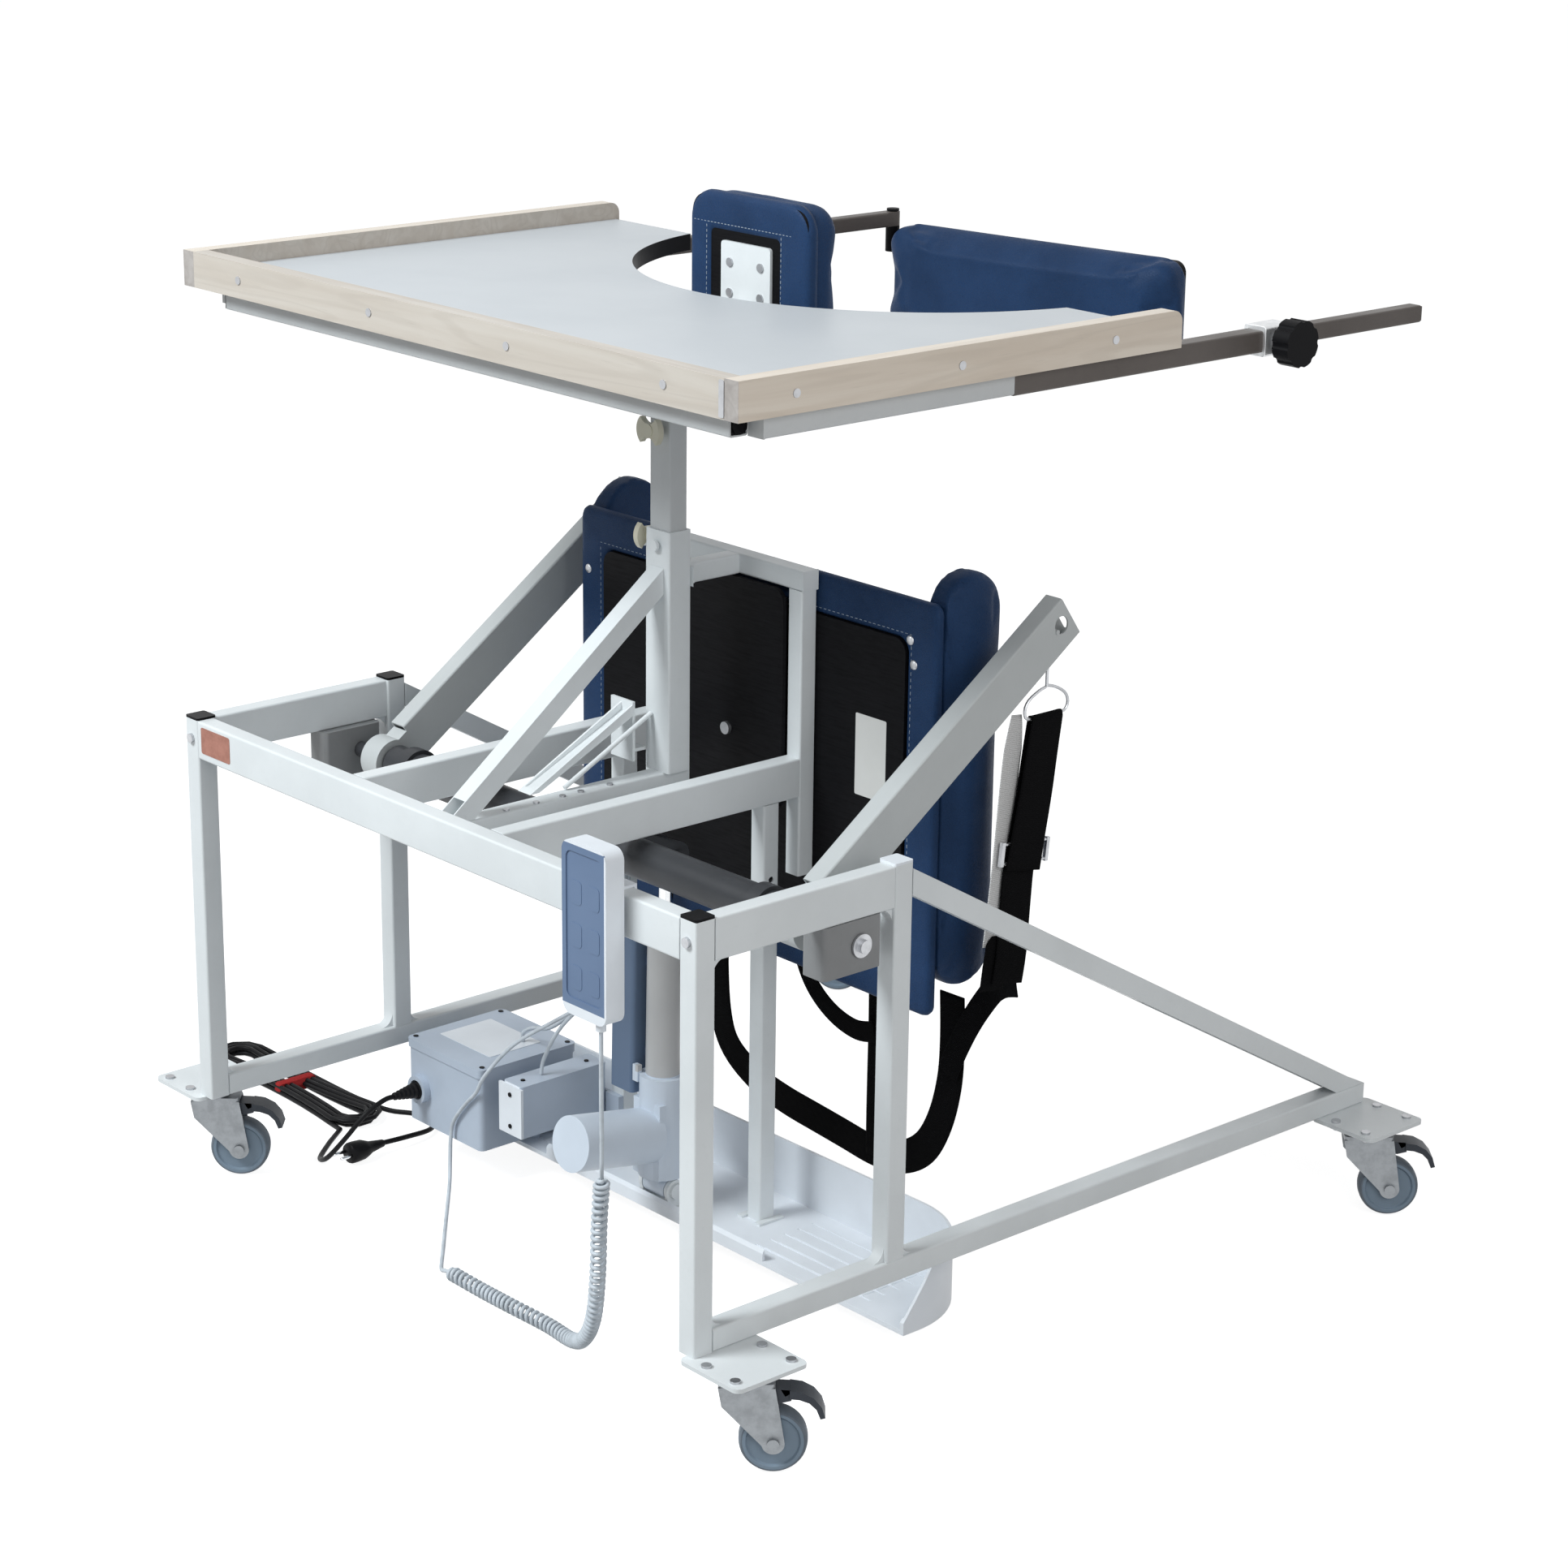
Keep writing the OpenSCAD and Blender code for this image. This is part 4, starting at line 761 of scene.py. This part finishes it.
def pad(name, size, crown, r, place, voxel=0.005, cap=0.008):
    """A swollen cushion. place turns local millimetres (x, out, z) into world metres."""
    w, h, t = size
    rings = [[p / 1000 for p in ring] for ring in cushion_rings(w, h, t - PAD_SHRINK * 0.6, crown, r, PAD_SHRINK)]
    obj = loft(name, rings, NAVY)
    remesh = obj.modifiers.new("even", "REMESH")
    remesh.mode = "VOXEL"
    remesh.voxel_size = voxel
    even = bpy.data.meshes.new_from_object(obj.evaluated_get(bpy.context.evaluated_depsgraph_get()))
    obj.modifiers.remove(remesh)
    obj.data = even
    swell(obj, cap)
    half_w, half_h, top = w / 2 + 1.5, h / 2 + 1.5, t + crown + 4
    for v in obj.data.vertices:
        x, y, z = v.co * 1000
        v.co = place(max(-half_w, min(half_w, x)), max(0.0, min(top, y)), max(-half_h, min(half_h, z)))
    shade(obj.data, True)
    obj.data.materials.clear()
    obj.data.materials.append(NAVY)
    face_outward(obj.data)
    finer = obj.modifiers.new("finer", "SUBSURF")
    finer.levels = finer.render_levels = 1
    return obj


def knee_front_place(x, y, z):
    return at(x, 164 + y, 621 + z)


def wing_place(s):
    """A side wing; its outer face runs full to the panel that it joins."""

    def place(x, y, z):
        near_panel = max(0.0, (188 - (216.3 - s * x)) / 24) if y > 20 else 0.0
        out = y + near_panel**2 * max(0.0, 40 - y)
        return at(s * (299.5 + out), 216.3 - s * x, 649 + z)

    return place


def chest_place(x, y, z):
    return at(2.5 + x, 157 + y, 1230 + z)


GATE_TURN = math.radians(8.5)


def gate_point(x, y, z):
    """A point of the back gate's own frame, in millimetres."""
    c, s = math.cos(GATE_TURN), math.sin(GATE_TURN)
    return at(-490 + x * c - y * s, 847 + x * s + y * c, z)


def back_place(x, y, z):
    return gate_point(260 + x, 5 - y, 1089 + z)


knee_cushion = pad("knee_cushion", (590, 500, 40), 8, 40, knee_front_place, voxel=0.006)
knee_wings = [pad(f"knee_wing_{k + 1}", (104, 528, 40), 5, 50, wing_place(s), voxel=0.005, cap=0.006)
              for k, s in enumerate((1, -1))]
chest_cushion = pad("chest_cushion", (215, 178, 46), 10, 36, chest_place)
back_cushion = pad("back_cushion", (494, 158, 46), 5, 30, back_place)


def make_border(name, outer, inner, radii, back_y, front_y):
    """The padded cover that wraps round the edge of a panel and frames its bare board.

    outer and inner are (low X, high X, low Z, high Z); the cover lies from back_y to front_y.
    """
    depth = front_y - back_y
    profile = [(0.0, 1.0), (-0.016, 0.68), (0.004, 0.36), (0.05, 0.14), (0.14, 0.05), (0.28, 0.015), (0.5, 0.0),
               (0.72, 0.015), (0.86, 0.05), (0.94, 0.12), (0.985, 0.26), (1.0, 0.5), (1.0, 1.0)]
    loops = []
    for (x0, x1, z0, z1), r in zip((outer, inner), radii):
        loops.append([((x0 + x1) / 2 + u, (z0 + z1) / 2 + v)
                      for u, v in rounded_loop((x1 - x0) / 2, (z1 - z0) / 2, r, 10)])
    rings = []
    for f, y in profile:
        rings.append([at(a[0] + (b[0] - a[0]) * f, back_y + depth * y, a[1] + (b[1] - a[1]) * f)
                      for a, b in zip(*loops)])
    return loft(name, rings, NAVY, closed=True)


knee_border = make_border("knee_border", (-335, 335, 362, 878), (-285.4, 285.4, 409.6, 828.4), (14, 18.4), 151.4, 164)
chest_border = make_border("chest_border", (-106, 111, 1142, 1318), (-66, 56, 1150, 1272), (34, 6), 142.5, 158)
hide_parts("knee_pad")
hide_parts("chest_pad")
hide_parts("back_pad")
for piece, body in ((knee_cushion, "frame"), (knee_wings[0], "frame"), (knee_wings[1], "frame"),
                    (knee_border, "frame"), (chest_cushion, "table"), (chest_border, "table"),
                    (back_cushion, "back_gate")):
    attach(piece, body)


# --- Sling ---

HOOK = (400, 273.33, 843.99)


def hung(y, z, x=0.0):
    """A point given from the hook's pin, in millimetres."""
    return at(HOOK[0] + x, HOOK[1] + y, HOOK[2] + z)


def hung_ribbon(name, x, points, width, thickness, material, steps=4):
    """A strap in the plane of the lift arm, from (y, z) points under the hook."""
    line = smooth_path([(p[0], p[1], 0) for p in points], steps)
    stations = []
    for i, p in enumerate(line):
        t = tangent(line, i)
        half = width / 2000 * min(1.0, 0.55 + 2.5 * i / len(line))
        stations.append((hung(p.x, p.y, x + 0.35 * math.sin(i * 0.9)), Vector((0, -t.y, t.x)), half))
    return ribbon(name, stations, thickness / 1000, material)


def make_folded_strap():
    """The wide strap: up the near face, over the bar of the hook, and down the far face."""
    front = smooth_path([(-34, -292, 0), (-26, -250, 0), (-16, -200, 0), (-8, -150, 0), (-1.5, -112, 0)], 4)
    back = smooth_path([(-1.5, -112, 0), (-8, -150, 0), (-16, -200, 0), (-26, -250, 0), (-34, -292, 0), (-38, -340, 0),
                        (-42, -400, 0), (-48, -436, 0)], 4)
    stations = []
    for i, p in enumerate(front):
        t = tangent(front, i)
        grow = min(1.0, (p.y + 292) / 180)
        stations.append((hung(p.x, p.y, 3.6), Vector((0, -t.y, t.x)), (30 - 3.5 * grow) / 1000))
    for k in range(1, 8):
        a = math.pi * k / 8
        stations.append((hung(-0.4, -107.5 + 5.2 * math.sin(a), 3.6 * math.cos(a)), Vector((0, -1, 0)), 0.0262))
    for i, p in enumerate(back):
        t = tangent(back, i)
        stations.append((hung(p.x, p.y, -3.6), Vector((0, t.y, -t.x)), 0.0268))
    return ribbon("sling_web", stations, 0.0022, STRAP)


def floor_ribbon(name, y, points, width, thickness=0.0026, steps=6, wave=0.8):
    """A lower strap in an upright plane across the frame, from (x, z) points."""
    line = smooth_path([(p[0], p[1], 0) for p in points], steps)
    stations = []
    for i, p in enumerate(line):
        t = tangent(line, i)
        lean = wave * math.sin(i * 0.35)
        stations.append((at(p.x, y + lean, p.y), Vector((-t.y, 0, t.x)), width / 2000))
    return ribbon(name, stations, thickness, STRAP)


sling_web = make_folded_strap()
sling_strip = hung_ribbon("sling_strip", -8, [(-41, -99), (-48, -160), (-58, -260), (-66, -340), (-72, -384)],
                          30, 1.8, PALE_STRAP)
sling_tag = hung_ribbon("sling_tag", -5.9, [(-62, -372), (-66, -400), (-72, -440)], 40, 2.0, STRAP)
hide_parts("sling_strap")
for piece in (sling_web, sling_strip, sling_tag):
    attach(piece, "sling")
long_loop = floor_ribbon("seat_strap", 253.5, [
    (-172, 372), (-173, 268), (-164, 196), (-143, 152), (-95, 124), (-40, 113), (20, 106), (80, 100), (140, 96),
    (190, 103), (232, 130), (260, 176), (274, 230), (277, 290), (276, 352)], 44)
link_loop = floor_ribbon("seat_strap_link", 247.5, [
    (276, 246), (286, 272), (300, 300), (316, 328), (333, 354.5), (350, 378.2), (359, 386.9), (369.7, 393.6),
    (381.4, 397.9), (390.8, 400.2)], 34, steps=4)
drop_loop = floor_ribbon("seat_strap_drop", 247.5, [(152, 330), (152, 250), (153, 180), (153, 92)], 44)
cross_loop = floor_ribbon("seat_strap_cross", 241.5, [
    (-8, 376), (4, 336), (30, 296), (70, 268), (112, 258), (150, 266)], 28)
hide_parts("sling_loops")
for piece in (long_loop, link_loop, cross_loop, drop_loop):
    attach(piece, "sling_lower")


# --- CAD nodes that stay: soft edges and finishes ---


def soft_edge_group():
    """Merges the imported corners and keeps only true edges sharp."""
    group = bpy.data.node_groups.new("soft_edges", "GeometryNodeTree")
    group.interface.new_socket("Geometry", in_out="INPUT", socket_type="NodeSocketGeometry")
    group.interface.new_socket("Geometry", in_out="OUTPUT", socket_type="NodeSocketGeometry")
    new = group.nodes.new
    start, end = new("NodeGroupInput"), new("NodeGroupOutput")
    merge = new("GeometryNodeMergeByDistance")
    faces, edges = new("GeometryNodeSetShadeSmooth"), new("GeometryNodeSetShadeSmooth")
    angle, compare = new("GeometryNodeInputMeshEdgeAngle"), new("FunctionNodeCompare")
    merge.inputs["Distance"].default_value = 0.00001
    faces.domain, edges.domain = "FACE", "EDGE"
    faces.inputs["Shade Smooth"].default_value = True
    edges.inputs["Shade Smooth"].default_value = False
    compare.data_type, compare.operation = "FLOAT", "GREATER_THAN"
    compare.inputs[1].default_value = math.radians(28)
    links = group.links.new
    links(start.outputs[0], merge.inputs[0])
    links(merge.outputs[0], faces.inputs[0])
    links(faces.outputs[0], edges.inputs[0])
    links(angle.outputs[0], compare.inputs[0])
    links(compare.outputs[0], edges.inputs["Selection"])
    links(edges.outputs[0], end.inputs[0])
    return group


SOFT_EDGES = soft_edge_group()


def dress(name, material, bevel):
    """Puts a finish on a CAD node and eases its edges by a hair."""
    node = NODES[name]
    node.data.materials.clear()
    node.data.materials.append(material)
    smooth = node.modifiers.new("soft_edges", "NODES")
    smooth.node_group = SOFT_EDGES
    if bevel:
        ease = node.modifiers.new("eased_edges", "BEVEL")
        ease.width = bevel
        ease.segments = 2
        ease.limit_method = "ANGLE"
        ease.angle_limit = math.radians(40)
        ease.harden_normals = True


PLAIN_FINISHES = (
    (WHITE, 0.0008, "top_rails centre_beam legs bottom_rails diagonal_braces mast_outer foot_posts"),
    (WHITE, 0.0005, "cable_channel"), (GREY, 0.0008, "mast_inner table_frame"), (BLOCK_GREY, 0.001, "pivot_blocks"),
    (BRONZE, 0.0006, "arm_tubes near_bar far_bar"), (ZINC, 0.0004, "frame_bolts"), (ZINC, 0.0, "sling_hook"),
    (CHROME, 0.0005, "actuator_rod"), (CLAMP_METAL, 0.0006, "arm_clamp"), (PLATE, 0.0, "nameplate"),
    (BOARD, 0.001, "knee_board gate_board"), (WHITE_PLASTIC, 0.0015, "foot_tray"),
    (BLACK_PLASTIC, 0.0012, "clamp_knob"), (STEEL_BLUE, 0.0015, "actuator_block"),
    (CREAM, 0.0008, "lower_wing_screw upper_wing_screw"), (NAVY, 0.0, "knee_pad chest_pad back_pad"),
    (STRAP, 0.0, "sling_strap sling_loops"), (CORD_GREY, 0.0, "handset_cord"),
    (CORD_BLACK, 0.0, "mains_cord cord_fittings"),
)
for material, bevel, names in PLAIN_FINISHES:
    for name in names.split():
        dress(name, material, bevel)

# Node, bevel, name of the material, its base finish, and the finishes that cover parts of it
MIXED_FINISHES = (
    ("caster_plates", 0.0006, "plate_and_screws", WHITE,
     (ZINC, test_side(2, above=0.1331)), (ZINC, test_side(2, below=0.1279))),
    ("leg_caps", 0.0008, "cap_finishes", BLACK_PLASTIC, (WHITE_PLASTIC, test_near(at(486, -49, 648), 0.05))),
    ("knee_frame", 0.0008, "tube_and_bolt", WHITE, (GRAPHITE, test_box(at(90, 100, 772), at(101.3, 160, 786)))),
    ("centre_board", 0.001, "board_and_bolt", BOARD, (ZINC, test_side(1, below=at_y(117.9)))),
    ("control_box", 0.0012, "control_box_finishes", BLUE_GREY,
     (WHITE_PLASTIC, test_box(at(-396, -46, 170.05), at(-284, 41, 171))),
     (BLACK_PLASTIC, test_side(2, above=0.17061))),
    ("side_box", 0.001, "side_box_finishes", BLUE_GREY, (WHITE_PLASTIC, test_side(1, below=at_y(-76.9))),
     (BLACK_PLASTIC, test_side(1, below=at_y(-81.05))), (BLACK_PLASTIC, test_side(2, above=0.17005))),
    ("handset", 0.0015, "handset_finishes", WHITE_PLASTIC,
     (FACE_BLUE, test_box(at(305, -392, 512), at(383, -386.3, 700)))),
    ("table_top", 0.0008, "top_and_edge_band", LAMINATE, (BLACK_PLASTIC, test_near(at(0, 418, 1201), 0.3505)),
     (BLACK_PLASTIC, test_side(1, above=at_y(343.8)))),
    ("table_edges", 0.0015, "rails_and_end_grain", BEECH,
     (END_GRAIN, test_box((at_x(497.9), None, None), (None, at_y(-319.7), None))),
     (END_GRAIN, test_box((None, None, None), (at_x(-497.9), at_y(-319.7), None)))),
    ("table_fittings", 0.0004, "fitting_finishes", BLACK_PLASTIC, (ZINC, test_side(2, above=1.19))),
    ("chest_board", 0.001, "board_and_plate", BOARD, (WHITE, test_side(1, below=at_y(144.9))),
     (ZINC, test_side(1, below=at_y(140.9)))),
    ("lift_arms", 0.0008, "arm_and_hook_pin", ARM_GREY, (GRAPHITE, test_near(at(415.5, 273.3, 894), 0.004)),
     (GRAPHITE, test_near(at(-415.5, 273.3, 894), 0.004))),
    ("torque_tube", 0.0008, "torque_tube_finishes", GRAPHITE, (ZINC, test_side(0, above=at_x(500.8))),
     (ZINC, test_side(0, below=at_x(-500.8)))),
    ("actuator_body", 0.0015, "actuator_finishes", PALE_BLUE,
     (TUBE_GREY, test_box((at_x(-24), None, 0.224), (at_x(24), None, None)))),
)
for node, bevel, name, base, *layers in MIXED_FINISHES:
    dress(node, masked(name, base, *layers), bevel)

CASTERS = {"front_near": (535, -316), "front_far": (-535, -316), "rear_near": (533, 757), "rear_far": (-533, 757)}
TRAIL, TRAIL_ANGLE, WHEEL_R = 36.0, math.radians(48.16), 39.0
for name, (x, y) in CASTERS.items():
    hub = at(x + TRAIL * math.cos(TRAIL_ANGLE), y + TRAIL * math.sin(TRAIL_ANGLE), WHEEL_R)
    dress(name + "_fork", FORK_STEEL, 0.0005)
    dress(name + "_wheel", masked(name + "_wheel_finishes", WHEEL_EDGE, (WHEEL, test_near(hub, 0.037))), 0.0006)
    dress(name + "_pedal", PEDAL_GREY, 0.001)


# --- Small pieces that only the looks need ---


def dome(name, centre, direction, radius, height, material, body):
    """A turned dome-headed stud standing on its centre, along a unit direction."""
    z = Vector(direction).normalized()
    x = z.orthogonal().normalized()
    y = z.cross(x)
    rings = []
    for k in range(7):
        a = math.pi / 2 * k / 6
        r, h = radius * math.cos(a) + 0.00002, height * math.sin(a)
        rings.append([centre + z * h + r * (math.cos(t) * x + math.sin(t) * y) for t in turns(24)])
    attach(loft(name, rings, material), body)


def make_lead_clip():
    """A moulded saddle that holds the three thin leads to the side of the centre beam."""
    line = smooth_path([(-14.7, -32, 0), (-14.7, -27, 0), (-17.2, -24.6, 0), (-20.8, -22, 0), (-21.2, -8, 0),
                        (-20.8, 6, 0), (-17.2, 8.6, 0), (-14.7, 11, 0), (-14.7, 16, 0)], 4)
    stations = [(at(p.x, p.y, 611), Vector((0, 0, 1)), 0.005) for p in line]
    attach(ribbon("lead_clip", stations, 0.0012, WHITE_PLASTIC), "frame")


def stitch_line(name, points, body, length=0.0042, gap=0.0020, radius=0.00055):
    """Thread through a cover: a row of short rounded stitches along straight runs of points in metres."""
    verts, faces, uvs = [], [], []
    for a, b in zip(points, points[1:]):
        run = (b - a).length
        t = (b - a).normalized()
        n = t.cross(Vector((0, 1, 0))).normalized()
        side = t.cross(n)
        count = max(1, int(run / (length + gap)))
        for k in range(count):
            base = len(verts)
            start = (k + 0.2) * run / count
            for along, r in ((0, 0.25), (0.15, 0.85), (0.5, 1.0), (0.85, 0.85), (1, 0.25)):
                for j in range(6):
                    w = math.pi / 3 * j
                    verts.append(a + t * (start + along * length)
                                 + radius * r * (math.cos(w) * n + math.sin(w) * side))
                    uvs.append((start + along * length, radius * j))
            for i in range(4):
                low, high = base + i * 6, base + i * 6 + 6
                faces += [(low + j, low + (j + 1) % 6, high + (j + 1) % 6, high + j) for j in range(6)]
            faces += [tuple(base + j for j in range(6)), tuple(base + 24 + j for j in reversed(range(6)))]
    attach(make_object(name, verts, faces, THREAD, uvs), body)


make_lead_clip()
stitch_line("chest_seam_top", [at(-99, 142.95, 1281), at(82, 142.95, 1281)], "table")
stitch_line("chest_seam_far", [at(-74, 142.95, 1279), at(-74, 142.95, 1150)], "table")
stitch_line("chest_seam_near", [at(62, 143.2, 1279), at(62, 143.2, 1150)], "table")
for k, (x0, x1, z0, z1) in enumerate(((-296, 296, 836, 836), (293, 293, 832, 400), (-293, -293, 832, 400))):
    stitch_line(f"knee_seam_{k + 1}", [at(x0, 152.0, z0), at(x1, 152.0, z1)], "frame", 0.005, 0.003)
for k, (x, z) in enumerate(((298, 800), (291, 829), (-318, 796))):
    dome(f"knee_stud_{k + 1}", at(x, 151.9, z), (0, -1, 0), 0.0062, 0.003, ZINC, "frame")
make_sticker("knee_sticker", at(201, 149.6, 617), 0.054, 0.103, 0.0004, "frame")


# --- Floor, light and background ---


FLOOR_GLOW = 0.88
WORLD_LEVEL = 0.28


def seen_plainly(tree):
    """An output that is 1 on camera, glossy and transmission rays."""
    path = tree.nodes.new("ShaderNodeLightPath")
    seen = path.outputs["Is Camera Ray"]
    for ray in ("Is Glossy Ray", "Is Transmission Ray"):
        seen = math_node(tree, "MAXIMUM", seen, path.outputs[ray])
    return seen


def make_floor():
    """A pale matt floor that glows to the camera, so that only soft shadows show on it."""
    bpy.ops.mesh.primitive_plane_add(size=60, location=(0, 0, -0.0003))
    floor = bpy.context.object
    floor.name = "floor"
    s = Shader("pale_floor")
    s.finish((0.45, 0.45, 0.45, 1), 0.8, specular=0.0)
    glow = s.node("ShaderNodeEmission")
    glow.inputs["Color"].default_value = (1, 1, 1, 1)
    s.link(s.math("MULTIPLY", seen_plainly(s.tree), FLOOR_GLOW), glow.inputs["Strength"])
    add = s.node("ShaderNodeAddShader")
    s.link(s.bsdf.outputs[0], add.inputs[0])
    s.link(glow.outputs[0], add.inputs[1])
    s.link(add.outputs[0], s.tree.nodes["Material Output"].inputs[0])
    floor.data.materials.append(s.material)


def make_world():
    """White to the camera and in reflections, and a plain lower level as a lamp."""
    world = bpy.data.worlds.new("studio")
    bpy.context.scene.world = world
    world.use_nodes = True
    tree = world.node_tree
    background = tree.nodes["Background"]
    background.inputs["Color"].default_value = (1, 1, 1, 1)
    level = tree.nodes.new("ShaderNodeMapRange")
    level.inputs[3].default_value = WORLD_LEVEL
    level.inputs[4].default_value = 1.0
    tree.links.new(seen_plainly(tree), level.inputs[0])
    tree.links.new(level.outputs[0], background.inputs["Strength"])


def area_light(name, place, target, size, power, color=(1.0, 1.0, 1.0)):
    data = bpy.data.lights.new(name, "AREA")
    data.color = color
    data.shape = "DISK"
    data.size = size
    data.energy = power
    light = bpy.data.objects.new(name, data)
    direction = Vector(target) - Vector(place)
    light.matrix_world = Matrix.Translation(place) @ direction.to_track_quat("-Z", "Y").to_matrix().to_4x4()
    bpy.context.scene.collection.objects.link(light)


make_floor()
make_world()
area_light("key", (-1.05, -3.75, 4.2), (0, 0, 0.6), 2.2, 246, (0.93, 0.98, 1.0))
area_light("fill", (4.2, -1.0, 2.6), (0, 0, 0.6), 3.0, 56)
bpy.context.scene.view_settings.view_transform = "Standard"
